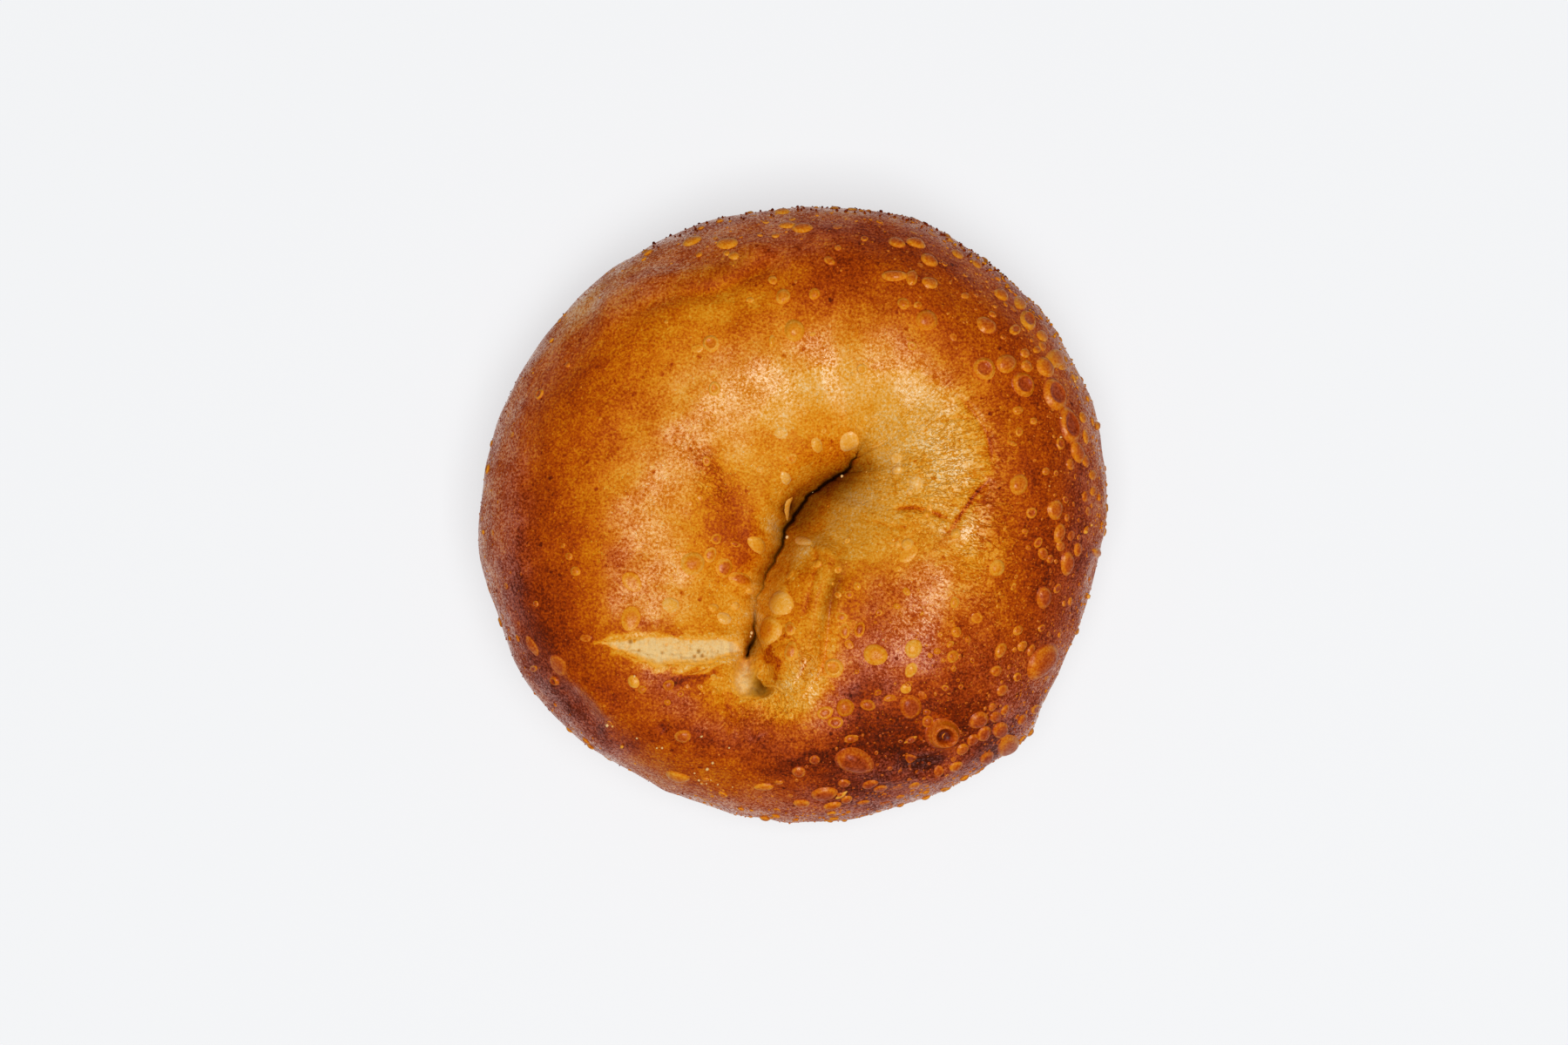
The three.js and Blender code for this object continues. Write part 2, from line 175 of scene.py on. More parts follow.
# Patches that are darker or paler than the rest: place on the plan, half length and half width in
# plan dots, turn in degrees, change of bake
BAKE_PATCHES = {
    "upper left gold": (800, 340, 150, 45, 28, -0.16),
    "upper left rim": (668, 352, 60, 16, 48, -0.14),
    "brown top rim": (800, 288, 84, 14, 14, -0.02),
    "brown valley under the fold": (850, 312, 60, 9, 28, 0.08),
    "upper rim": (720, 312, 70, 12, 32, -0.08),
    "top rim": (970, 262, 120, 16, -4, 0.08),
    "under the upper fold": (770, 326, 95, 14, 22, -0.05),
    "top right flank": (1110, 345, 90, 40, -35, 0.03),
    "upper right rim": (1155, 325, 60, 12, -40, 0.10),
    "right rim high": (1232, 478, 44, 10, -72, -0.06),
    "upper left flank": (618, 480, 80, 26, 60, -0.03),
    "brown upper left": (640, 425, 44, 16, 50, 0.08),
    "red left flank": (652, 648, 50, 20, 90, 0.07),
    "gold low left": (762, 866, 26, 16, -20, -0.08),
    "red below the crack": (840, 808, 32, 12, -10, 0.12),
    "red by the rope tip": (900, 733, 12, 14, 0, 0.12),
    "pink middle low": (1050, 748, 44, 20, 0, 0.06),
    "right crest": (1095, 520, 50, 44, 80, -0.07),
    "dark left of the slit": (836, 594, 62, 28, 108, 0.15),
    "red left of the slit": (812, 530, 20, 12, 118, 0.18),
    "brown left of the slit": (830, 620, 54, 30, 84, 0.20),
    "brown by the slit": (858, 624, 40, 12, 72, 0.20),
    "golden above the slit": (945, 500, 60, 40, 50, 0.19),
    "red above the slit": (972, 552, 16, 14, 0, 0.10),
    "red left of the crease": (802, 586, 14, 20, 0, 0.10),
    "pink low middle": (1010, 780, 60, 30, 0, 0.06),
    "cream upper crest": (880, 430, 110, 28, 15, -0.06),
    "upper left crest": (780, 430, 50, 26, 40, -0.06),
    "left crest": (715, 545, 50, 24, 90, -0.05),
    "yellow above the slit": (895, 482, 34, 16, 20, 0.06),
    "low left crest": (745, 672, 60, 44, 0, 0.07),
    "orange by the left crest": (705, 650, 26, 50, 0, 0.07),
    "cream lip": (887, 606, 18, 9, 105, -0.34),
    "rope ridge": (924, 634, 30, 8, 42, -0.18),
    "gold on the rope end": (918, 685, 40, 18, 80, 0.16),
    "pink right crest": (1118, 632, 50, 26, 105, -0.28),
    "dark left flank": (594, 640, 70, 14, 90, 0.10),
    "right middle": (1180, 612, 60, 16, 90, 0.07),
    "gold under the upper fold": (838, 352, 50, 14, 10, -0.10),
    "pink low right": (1085, 715, 60, 22, 75, -0.06),
    "low right": (1075, 785, 125, 85, 35, 0.12),
    "outer right crest": (1146, 520, 50, 12, 98, 0.10),
    "orange right top": (1105, 400, 60, 34, -40, 0.12),
    "orange top": (1025, 360, 30, 50, 0, 0.07),
    "orange right of the slit": (1050, 608, 70, 34, 30, 0.08),
    "low left rim": (645, 805, 80, 12, -45, 0.16),
    "orange low left": (672, 802, 40, 10, -45, -0.08),
    "low left flank": (606, 720, 70, 16, -68, 0.18),
    "right rim": (1240, 590, 110, 16, 90, 0.14),
    "red right flank": (1204, 640, 90, 16, 86, 0.08),
    "bottom rim": (1000, 922, 110, 16, 3, 0.14),
    "bottom left rim": (830, 900, 110, 16, -12, -0.10),
    "right flank": (1190, 540, 110, 30, 90, 0.07),
    "right flank low": (1165, 690, 90, 20, 80, -0.06),
    "low right rim": (1145, 852, 50, 22, 45, 0.26),
    "top": (960, 318, 90, 44, 0, 0.12),
    "left flank": (640, 690, 110, 30, 105, 0.12),
    "above the crack": (745, 722, 74, 10, 0, 0.20),
    "below the crack": (790, 818, 110, 38, -22, 0.26),
    "bottom": (880, 850, 100, 20, -4, 0.20),
    "orange below the crack": (812, 832, 50, 12, -14, -0.12),
    "dark bottom": (950, 868, 60, 14, 4, 0.12),
    "red spots low right": (1068, 814, 22, 12, 0, 0.10),
    "bottom middle": (930, 882, 50, 18, 0, 0.22),
    "bottom low right": (975, 912, 50, 12, 0, 0.12),
    "orange bottom": (918, 850, 34, 10, 0, -0.12),
    "crack lip": (792, 778, 40, 9, 6, 0.42),
    "low right edge": (1086, 846, 22, 26, 0, -0.16),
    "red low right": (1108, 825, 32, 18, 0, 0.18),
    "red rope tip": (886, 750, 24, 6, 98, 0.40),
    "pale lip of the rope end": (950, 728, 36, 6, 100, -0.15),
    "pale lip of the rope tip": (941, 776, 30, 7, 62, -0.15),
    "pink rope tip": (906, 754, 14, 18, 0, 0.08),
    "lower right": (1070, 800, 80, 40, 42, 0.05),
    "dark low right": (1062, 854, 54, 10, -2, 0.15),
    "maroon lower right": (1010, 840, 80, 26, -4, 0.20),
    "maroon spot": (984, 800, 34, 24, 0, 0.28),
    "brown by the rope end": (973, 682, 14, 32, 0, 0.16),
    "scorched dent": (1050, 874, 34, 8, 6, 0.06),
    "scorched shelf": (1030, 890, 70, 14, 8, 0.20),
    "dark low left": (705, 850, 24, 14, -20, 0.12),
    "red by the rope end": (1000, 720, 70, 34, 70, 0.28),
    "right rim low": (1222, 690, 90, 20, 80, 0.10),
    "bottom gold": (938, 822, 40, 12, 8, -0.04),
    "cream below the rope end": (908, 796, 40, 20, 0, -0.22),
    "pale left lip": (869, 702, 34, 7, 100, -0.22),
    "gold right of the slit": (903, 712, 26, 9, 90, 0.12),
    "gold below the rope end": (905, 812, 40, 12, 10, -0.04),
    "gold left of the pit": (862, 720, 40, 12, 90, -0.06),
}

# Where the skin is wrinkled like leather, and where it is beaded: the same, with an amount
WRINKLE_PATCHES = {
    "right crest": (1085, 530, 90, 60, 60, 0.8),
    "below the right crease": (1130, 620, 70, 40, 80, 0.7),
    "left of the slit": (815, 545, 40, 20, -60, 0.7),
    "rope end": (925, 770, 50, 30, 70, 0.5),
    "lower right": (1060, 700, 60, 50, 0, 0.3),
    "below the rope end": (880, 820, 50, 20, 10, 0.5),
}
BEAD_PATCHES = {
    "lower right": (1110, 760, 120, 60, 50, 0.75),
    "maroon lower right": (1030, 840, 90, 30, 0, 0.6),
    "left of the slit": (822, 560, 40, 22, -60, 0.5),
    "left crest": (700, 600, 80, 50, 80, 0.3),
    "right flank": (1170, 620, 80, 30, 90, 0.4),
}
# How oily the skin is, from the slit (reach 0) over the crest (1) to the girth (2), and patches of it
SHEEN_BY_REACH = [0.0, 0.0, 0.05, 0.30, 0.40, 0.08, 0.06, 0.55, 0.85]
SHEEN_PATCHES = {
    "upper crest": (915, 424, 80, 30, 5, 0.48),
    "upper right crest": (1000, 440, 56, 34, -50, 0.46),
    "outer upper right": (1072, 412, 44, 20, -40, -0.16),
    "low left crest": (776, 686, 56, 40, 0, 0.34),
    "upper left crest": (775, 490, 60, 36, 40, 0.18),
    "right crest": (1116, 640, 26, 60, 0, 0.68),
    "valley by the slit": (968, 558, 20, 22, 0, -0.30),
    "bottom": (855, 835, 54, 16, -10, -0.35),
    "right of the slit's end": (900, 735, 14, 18, 0, -0.20),
    "left crest": (755, 600, 60, 30, 90, -0.04),
    "lower right crest": (1075, 710, 70, 34, 75, 0.20),
    "rope tip": (925, 772, 26, 20, 60, 0.60),
    "cream lip": (885, 600, 20, 9, 105, 0.15),
    "rope ridge": (935, 632, 20, 14, 0, 0.15),
    "olive valley": (985, 590, 90, 44, 30, -0.22),
    "left of the crack": (680, 650, 26, 60, 0, -0.30),
    "above the crack": (750, 722, 80, 12, 0, -0.45),
    "below the crack": (800, 790, 66, 30, -10, -0.40),
    "left end of the crack": (690, 755, 24, 24, 0, -0.30),
    "below the rope end": (920, 818, 50, 12, 0, -0.30),
    "by the rope end": (990, 705, 30, 60, 0, -0.22),
    "maroon spot": (990, 796, 34, 24, 0, -0.30),
    "right of the slit": (1065, 605, 46, 50, 0, -0.24),
    "left of the slit": (806, 590, 22, 60, 0, -0.26),
    "by the slit": (864, 620, 44, 14, 65, 0.14),
    "end of the slit": (838, 688, 16, 26, 0, -0.22),
    "red left of the slit": (830, 532, 16, 16, 0, -0.22),
    "rope end": (945, 700, 14, 60, 0, 0.20),
    "dark low right": (1035, 845, 40, 14, 0, -0.30),
    "red low right": (1110, 826, 24, 14, 0, -0.30),
    "upper left fold": (750, 320, 90, 24, 28, 0.80),
    "top": (890, 280, 70, 22, 0, 0.55),
    "left rim": (580, 580, 170, 22, 90, 1.00),
    "upper rim": (810, 275, 150, 18, 18, 0.15),
    "upper left rim": (640, 400, 90, 26, 50, 0.15),
    "bottom rim": (900, 925, 130, 16, 0, 0.50),
    "lower right rim": (1172, 805, 40, 22, -55, 1.00),
    "low left rim": (650, 815, 80, 22, -42, 0.70),
    "right rim": (1243, 560, 110, 18, 90, 0.15),
    "low right": (1120, 765, 60, 50, 60, 0.16),
    "low right rim": (1168, 830, 20, 20, 0, 1.00),
    "scorched shelf": (1045, 882, 60, 14, 6, 1.00),
}
WRINKLE_TURN = 32.0  # radius that the wrinkles' run is measured at
WRINKLE_RUN = 15.0  # a wrinkle is longer than wide, so its run is shortened to this for each reach

# Places that lie in shadow: the same, with shade from 0 to 1
SHADE_PATCHES = {
    "valley right of the slit": (968, 590, 80, 36, 42, 0.14),
    "right of the slit": (974, 557, 20, 10, 40, 0.18),
    "dark corner of the slit": (904, 583, 9, 7, 60, 0.65),
    "below the right crease": (1075, 612, 50, 16, 20, 0.07),
    "golden left of the slit": (880, 565, 36, 30, 60, 0.06),
    "left end of the upper fold": (718, 346, 36, 10, 30, 0.24),
    "upper fold": (780, 326, 44, 10, 14, 0.22),
    "right end of the upper fold": (844, 300, 34, 11, 30, 0.26),
    "lower fold": (650, 816, 50, 7, -42, 0.14),
    "hollow by the rope end": (919, 597, 22, 13, 45, 0.45),
    "hollow by the left lobe": (908, 576, 16, 8, 60, 0.35),
    "valley below": (985, 640, 60, 34, 60, 0.10),
    "groove beside the rope end": (957, 680, 36, 8, 74, 0.42),
    "pit mouth": (879, 790, 12, 9, 60, 0.30),
    "slit by the crumb": (860, 738, 16, 6, 90, 0.5),
}
# Shade on the slit's walls, from its upper right end to its lower left end: depth and reach
LEFT_WALL_SHADES = [0.30, 0.60, 0.60, 0.55, 0.60, 0.28, 0.4]
LEFT_WALL_WIDTHS = [1.4, 1.9, 2.2, 1.2, 1.6, 1.4, 1.0]
RIGHT_WALL_SHADES = [0.25, 0.80, 0.84, 0.50, 0.20, 0.18, 0.4]
RIGHT_WALL_WIDTHS = [2.2, 5.4, 5.2, 2.8, 1.2, 0.8, 1.0]

# Blisters on the plan: place, width, height, turn of the width in degrees
BLISTER_MARKS = {
    "dome": [
        (981, 875, 43, 29, -8), (1045, 812, 26, 26, 0), (1158, 858, 30, 20, 42), (1198, 760, 46, 28, 56),
        (1156, 417, 22, 22, 0), (1133, 373, 23, 18, -30), (1064, 367, 26, 22, 0), (1213, 411, 23, 22, -50),
        (1177, 405, 12, 10, -60), (1191, 401, 9, 9, 0), (1197, 397, 12, 9, -60), (1221, 419, 12, 10, -60),
        (1179, 420, 14, 12, -60), (1201, 421, 26, 17, -50), (1197, 385, 15, 11, -50),
        (1172, 347, 18, 12, -50), (1150, 338, 18, 12, -40), (1170, 556, 24, 20, 85),
        (1212, 585, 22, 18, 75), (1217, 612, 23, 12, 80),
        (1218, 627, 12, 10, 80), (1226, 647, 27, 16, 85), (1238, 631, 17, 9, 85), (1198, 636, 15, 11, -70),
        (1206, 642, 11, 8, 80), (1177, 610, 8, 7, 0), (1181, 629, 7, 6, 0), (1145, 652, 20, 17, 80),
        (1149, 747, 17, 13, 60), (1144, 771, 13, 12, 30), (1151, 793, 15, 11, 35), (1169, 724, 13, 10, 60),
        (1174, 742, 13, 10, 60), (1184, 747, 14, 8, 60), (1098, 726, 12, 12, 0), (1094, 754, 15, 13, 80),
        (1076, 748, 8, 8, 0), (1068, 753, 6, 6, 0), (1102, 754, 7, 4, 90), (1095, 768, 8, 6, 90),
        (1124, 828, 23, 18, 35), (1143, 824, 14, 11, 30), (1154, 816, 13, 8, 60), (1130, 843, 18, 15, 45),
        (1149, 839, 20, 17, 45), (1105, 861, 16, 11, 40), (1117, 850, 15, 12, 42), (1098, 881, 17, 10, 30),
        (1133, 871, 19, 12, 32), (1065, 829, 14, 13, 0), (1064, 818, 9, 7, 0), (1046, 850, 14, 7, 20),
        (1046, 870, 13, 8, 0), (996, 810, 17, 13, -10), (970, 813, 21, 19, 80), (1021, 802, 14, 8, 15),
        (1006, 865, 5, 5, 0), (946, 912, 32, 14, 6), (920, 923, 20, 9, 0), (956, 926, 22, 8, 8),
        (969, 900, 15, 9, 0), (966, 914, 10, 7, 0), (972, 919, 13, 9, 10), (999, 901, 20, 9, 15),
        (1011, 906, 16, 8, 15), (1050, 903, 14, 7, 20), (991, 922, 15, 5, 8), (1034, 916, 11, 5, 15),
        (977, 849, 17, 9, 5), (917, 887, 16, 12, 0), (935, 873, 12, 11, 0), (877, 904, 22, 8, 0),
        (894, 899, 10, 5, 0), (777, 893, 28, 11, -15), (784, 846, 19, 15, 0), (737, 792, 10, 9, 0),
        (767, 787, 13, 12, 0), (766, 807, 8, 7, 0), (653, 639, 9, 9, 0), (660, 656, 12, 11, 0),
        (819, 698, 12, 9, 0), (844, 696, 10, 9, 0), (861, 679, 9, 8, 0),
        (1042, 625, 15, 13, 0), (1031, 625, 8, 6, 90),
        (899, 340, 17, 17, 0), (935, 337, 13, 13, 0), (887, 321, 11, 10, 0), (861, 344, 10, 6, 0),
        (912, 379, 26, 22, 80), (886, 391, 14, 7, 85), (835, 279, 24, 13, 10), (794, 276, 22, 10, 18),
        (842, 293, 12, 9, 10), (834, 290, 8, 6, 0), (921, 261, 24, 11, 0), (904, 258, 20, 7, 4),
        (898, 242, 18, 6, 5), (890, 270, 9, 6, 0), (1030, 278, 21, 11, -15), (1052, 278, 22, 11, -20),
        (1067, 298, 20, 13, -30), (1027, 316, 28, 13, 0), (1047, 318, 17, 14, 80), (1068, 324, 18, 13, -20),
        (1037, 348, 14, 13, 0), (1054, 350, 10, 8, 0), (1108, 339, 9, 8, 0), (1201, 541, 9, 9, 0),
        (1169, 471, 12, 10, 0), (1187, 483, 9, 8, 0), (1162, 509, 13, 5, -20), (1238, 519, 26, 15, -76),
        (1247, 529, 16, 8, -80), (1229, 533, 14, 9, -80), (1244, 479, 14, 8, -76), (1247, 501, 17, 7, -80),
        (1255, 545, 12, 9, 90), (1256, 564, 12, 8, 90), (1260, 489, 19, 10, -78), (1259, 634, 40, 10, 85),
        (1174, 827, 14, 9, 48), (1122, 302, 14, 8, -35), (1100, 291, 16, 8, -30), (1199, 686, 27, 16, 85),
    ],
    "pale": [
        (1005, 752, 26, 24, 0), (1049, 745, 22, 18, 80), (1046, 770, 17, 13, 60), (1040, 791, 12, 12, 0),
        (975, 507, 22, 20, 60), (938, 511, 18, 12, -80), (897, 497, 15, 14, 0), (902, 549, 15, 12, -60),
        (1052, 554, 16, 14, 0), (922, 621, 19, 9, -5), (727, 783, 16, 12, -70), (894, 692, 28, 22, 70),
        (770, 695, 19, 18, 0), (831, 710, 18, 12, -25), (870, 626, 21, 17, -40),
    ],
    "amber": [
        (795, 647, 27, 26, -30), (815, 637, 17, 14, 80), (831, 652, 21, 19, 80), (851, 666, 28, 16, -22),
        (822, 619, 13, 11, 80), (844, 625, 12, 6, -20), (882, 724, 32, 21, 78), (907, 722, 15, 12, 80),
        (908, 748, 22, 15, 78), (966, 709, 13, 12, 0), (962, 683, 8, 7, 0), (975, 683, 10, 9, 0),
        (970, 725, 16, 12, 80), (987, 723, 18, 11, 70),
    ],
    "ring": [
        (1229, 488, 42, 23, -72), (1130, 423, 26, 25, 0), (947, 819, 19, 14, 10), (959, 830, 18, 13, 5),
        (957, 767, 23, 21, 0), (1166, 378, 13, 12, 0), (1181, 367, 24, 17, -60), (820, 446, 16, 14, 80),
        (612, 768, 9, 8, 0), (1190, 815, 14, 8, 50), (909, 526, 13, 12, 0), (816, 394, 20, 18, 80),
        (1212, 452, 38, 25, -60), (1175, 441, 31, 23, -60),
    ],
    "crater": [(1083, 844, 39, 36, 20), (636, 782, 13, 9, -45), (1043, 786, 9, 7, 0)],
    "faint": [
        (724, 710, 28, 22, 85), (725, 668, 24, 20, -50), (1029, 526, 12, 12, 0), (640, 764, 26, 16, -60),
        (610, 742, 25, 10, -60), (1043, 636, 24, 16, 40), (800, 400, 14, 9, 0), (672, 733, 14, 8, 0),
    ],
}

# Regions with a clear border: closed line of plan dots, half width of the border, change of bake
BAKE_REGIONS = {
    "pale right": ([(870, 480), (900, 440), (960, 420), (1030, 424), (1090, 440), (1118, 466), (1136, 500),
                    (1138, 540), (1120, 575), (1085, 615), (1040, 640), (985, 640), (950, 610), (960, 560),
                    (985, 525), (950, 500), (900, 500)], 0.9, -0.15),
    "border of the crack": ([(686, 738), (700, 733), (724, 730), (750, 728), (775, 729), (800, 730),
                             (838, 730), (850, 735), (854, 747), (844, 755), (834, 758), (827, 764),
                             (812, 769), (795, 767), (775, 768), (757, 772), (742, 770), (728, 762),
                             (712, 753), (695, 744)], 0.6, -0.20),
    "ridge beside the window": ([(838, 757), (846, 757), (838, 780), (826, 796), (812, 800), (820, 780)],
                                0.5, -0.10),
}

# How the colour changes with the square of a stroke's steepness, sunk or raised: height over half width.
# Sunk strokes turn darker, partly browning and partly painted shade in the crease; raised ones paler, as
# painted light on the ridge
FOLD_BAKE_AND_SHADE = (0.21, -0.10)
FOLD_BAKE_AND_SHADE_WIDTH = 0.8  # how wide that change is, as a share of the stroke's half width
STROKE_TAPER = (-0.02, 0.22)  # shares of a stroke between which it rises to its full strength

# Lips of the openings: how wide and how nearly full their paler hem is, and its bake
LIP_WIDTH = 0.35
LIP_FADE = 0.75
LIP_BAKE = 0.08

# Wavelengths that drawn edges waver by, and seed and size for openings, bake and texture
EDGE_WAVELENGTHS = (7.0, 4.0, 2.4, 1.5)
OPENING_WAVER = (3, 0.12)
BAKE_WAVER = (8, 0.5)
TEXTURE_WAVER = (9, 0.6)

# Slow dents and swellings of the skin: seed, wavelengths, and their height as a share of these
SWELL_SEED = 5
SWELL_WAVELENGTHS = (24, 17, 12, 8.5, 6)
SWELL_SHARE = 0.0055
SWELL_START = 0.25  # the reach within which they settle at the slit
RELIEF_START = 0.04  # the same for strokes and lumps

# The slit: how its funnel narrows, and for the dark core in its gap, which is painted shade, the share of
# the gap's width, the depth that its darkness is measured against and the darkest it gets
FUNNEL_POWER = 1.6
CORE_WIDTH = 0.8
CORE_DEPTH = 4.0
DARKEST_CORE = 0.9

# Wrinkles and beads everywhere, and what the underside keeps of its beads and its gloss
BASE_WRINKLES = 0.12
BASE_BEADS = 0.55
UNDERSIDE_BEADS = 0.3
UNDERSIDE_GLOSS = 0.4

ANY_PHASE = (0, 6.3)

# ---------------------------------------------------------------- the shape of the bread


def on_plan(dots):
    """Millimetres from the middle for places given in plan dots."""
    dots = np.asarray(dots, float)
    return (dots - PLAN_MIDDLE) * (PLAN_DOT, -PLAN_DOT)


def seen_on_plan(points):
    """Where points show on the plan, in millimetres: the higher, the further out."""
    nearer = (EYE[2] - GIRTH_HEIGHT) / (EYE[2] - points[:, 2])
    return EYE[0] + (points[:, 0] - EYE[0]) * nearer, EYE[1] + (points[:, 1] - EYE[1]) * nearer


def smooth_step(value, low, high):
    t = np.clip((value - low) / (high - low), 0, 1)
    return t * t * (3 - 2 * t)


def bell(distance, width):
    return np.exp(-((distance / width) ** 2))


def turned_away(angle, direction):
    """How far angles lie from a direction in degrees, the short way round."""
    away = angle - math.radians(direction)
    return np.arctan2(np.sin(away), np.cos(away))


def swelling(swellings, angle):
    """The height of all swellings together, in directions round the bagel."""
    total = np.zeros_like(angle)
    for direction, spread, height in swellings:
        total += height * bell(turned_away(angle, direction), math.radians(spread))
    return total


def spline(values, share):
    """The smooth curve through evenly spaced values, share 0 to 1, as a Catmull-Rom spline."""
    values = np.asarray(values, float)
    last = len(values) - 1
    place = np.clip(share, 0, 1) * last
    start = np.minimum(place.astype(int), last - 1)
    u = place - start
    points = [values[np.clip(start + k, 0, last)] for k in (-1, 0, 1, 2)]
    if values.ndim == 2:
        u = u[:, None]
    slope_in = (points[2] - points[0]) / 2
    slope_out = (points[3] - points[1]) / 2
    return (
        (2 * points[1] - 2 * points[2] + slope_in + slope_out) * u**3
        + (3 * points[2] - 3 * points[1] - 2 * slope_in - slope_out) * u**2
        + slope_in * u
        + points[1]
    )


def outline(angle, inset):
    radius = OUTLINE_RADIUS + swelling(OUTLINE_SWELLINGS, angle) - inset
    return np.stack([radius * np.cos(angle), radius * np.sin(angle)], axis=1)


def nearest_on_line(line, x, y):
    """Distance from each place to a line of points, and the share of the line where it is nearest."""
    distance = np.full(x.shape, np.inf)
    share = np.zeros(x.shape)
    for i, ((ax, ay), (bx, by)) in enumerate(zip(line, line[1:])):
        dx, dy = bx - ax, by - ay
        along = np.clip(((x - ax) * dx + (y - ay) * dy) / (dx * dx + dy * dy), 0, 1)
        away = np.hypot(x - ax - along * dx, y - ay - along * dy)
        nearer = away < distance
        distance = np.where(nearer, away, distance)
        share = np.where(nearer, (i + along) / (len(line) - 1), share)
    return distance, share


def smooth_line(line, pieces=6):
    """More points on the smooth curve through a short line of points."""
    return [tuple(p) for p in spline(line, np.linspace(0, 1, pieces * (len(line) - 1) + 1))]


def closed_line(dots, pieces=5):
    """A smooth closed line through plan dots, in millimetres."""
    line = on_plan(dots)
    wrapped = np.concatenate([line[-2:], line, line[:3]])
    count = len(line)
    share = np.linspace(2, count + 2, pieces * count + 1)[:-1] / (len(wrapped) - 1)
    return [tuple(p) for p in spline(wrapped, share)]


def inside_distance(dots, x, y):
    """Distance inside a smooth closed line through plan dots, below 0 outside it."""
    closed = closed_line(dots)
    closed.append(closed[0])
    distance, _ = nearest_on_line(closed, x, y)
    inside = np.zeros(x.shape, bool)
    for (ax, ay), (bx, by) in zip(closed, closed[1:]):
        if ay != by:
            crosses = (ay > y) != (by > y)
            inside ^= crosses & (x < ax + (y - ay) * (bx - ax) / (by - ay))
    return np.where(inside, distance, -distance)


def beside_stroke(line, x, y):
    """Distance of each place from a stroke, and the stroke's strength there, which fades at its ends."""
    distance, share = nearest_on_line(smooth_line(on_plan(line)), x, y)
    return distance, smooth_step(share, *STROKE_TAPER) * smooth_step(1 - share, *STROKE_TAPER)


def relief(x, y):
    """How far strokes and lumps raise the skin."""
    height = np.zeros_like(x)
    for line, width, rise in STROKES.values():
        distance, strength = beside_stroke(line, x, y)
        height += rise * bell(distance, width) * strength
    for dots, rise, softness in LUMPS.values():
        height += rise * smooth_step(inside_distance(dots, x, y), 0, softness)
    return height


def plan_wave(x, y, wavelength, random):
    """A wave over the plan, in a random direction."""
    heading, phase = random.uniform(0, 2 * math.pi, 2)
    across = x * math.cos(heading) + y * math.sin(heading)
    return np.sin(across * 2 * math.pi / wavelength + phase)


def waver(x, y, seed, size):
    """Places shifted a little, so that drawn edges turn out ragged."""
    random = np.random.default_rng(seed)
    dx, dy = np.zeros_like(x), np.zeros_like(x)
    for wavelength in EDGE_WAVELENGTHS:
        for shift in (dx, dy):
            height = size * math.sqrt(wavelength / EDGE_WAVELENGTHS[0])
            shift += height * plan_wave(x, y, wavelength, random)
    return x + dx, y + dy


def opening_edge(dots, x, y):
    return inside_distance(dots, *waver(x, y, *OPENING_WAVER))


def openings_edge(x, y):
    """Distance inside the nearest opening, below 0 outside both."""
    return np.maximum(opening_edge(CRACK_OUTLINE, x, y), opening_edge(WINDOW_OUTLINE, x, y))


def pit_closeness(x, y):
    px, py = on_plan(PIT_AT)
    return bell(np.hypot(x - px, y - py), PIT_RADIUS)


def openings_depth(x, y):
    depth = OPENING_DEPTH + PIT_DEPTH * pit_closeness(x, y)
    return smooth_step(openings_edge(x, y), 0, WALL_WIDTH) * depth


def slit_frame(angle):
    """The place on the slit that a direction round the bagel starts from, and its share of the line."""
    share = (1 - np.cos(angle - SLIT_HEADING)) / 2
    mouth = spline(SLIT_LINE, share)
    for count, size, phase in SLIT_WAVES:
        mouth[:, 0] += size * np.sin(math.pi * count * share + phase)
    return mouth, share


def by_side(left_values, right_values, share, left):
    """A value along the slit, mixed by how much a place lies on its left side."""
    return spline(left_values, share) * left + spline(right_values, share) * (1 - left)


def across_share(reach):
    """How far between the slit and the outline a reach lies."""
    turn = np.clip(reach - 1, 0, 1) * math.pi / 2
    outward = CREST_SHARE + (1 - CREST_SHARE) * np.sin(turn) ** (2 / FLANK_POWER)
    return np.where(reach < 1, CREST_SHARE * reach, outward)


def upper_surface(reach, angle):
    """The smooth upper skin: reach is 0 at the slit, 1 at the crest and 2 at the girth."""
    mouth, share = slit_frame(angle)
    rim = outline(angle, 0)
    crest = CREST_HEIGHT + swelling(CREST_SWELLINGS, angle)
    turn = np.clip(reach - 1, 0, 1) * math.pi / 2
    dished = crest - DISH_DEPTH * np.clip(1 - reach, 0, 1) ** DISH_POWER
    flank = GIRTH_HEIGHT + (crest - GIRTH_HEIGHT) * np.clip(np.cos(turn), 0, 1) ** (2 / FLANK_POWER)
    across = across_share(reach)
    distance = across * np.hypot(*(rim - mouth).T)
    left = (1 + np.sin(angle - SLIT_HEADING)) / 2
    width = by_side(FUNNEL_LEFT_WIDTHS, FUNNEL_RIGHT_WIDTHS, share, left)
    funnel = spline(FUNNEL_DEPTHS, share) * np.exp(-((distance / width) ** FUNNEL_POWER))
    gap = spline(GAP_DEPTHS, share) * bell(distance, spline(GAP_HALF_WIDTHS, share))
    place = mouth + across[:, None] * (rim - mouth)
    return np.column_stack([place, np.where(reach < 1, dished, flank) - funnel - gap])


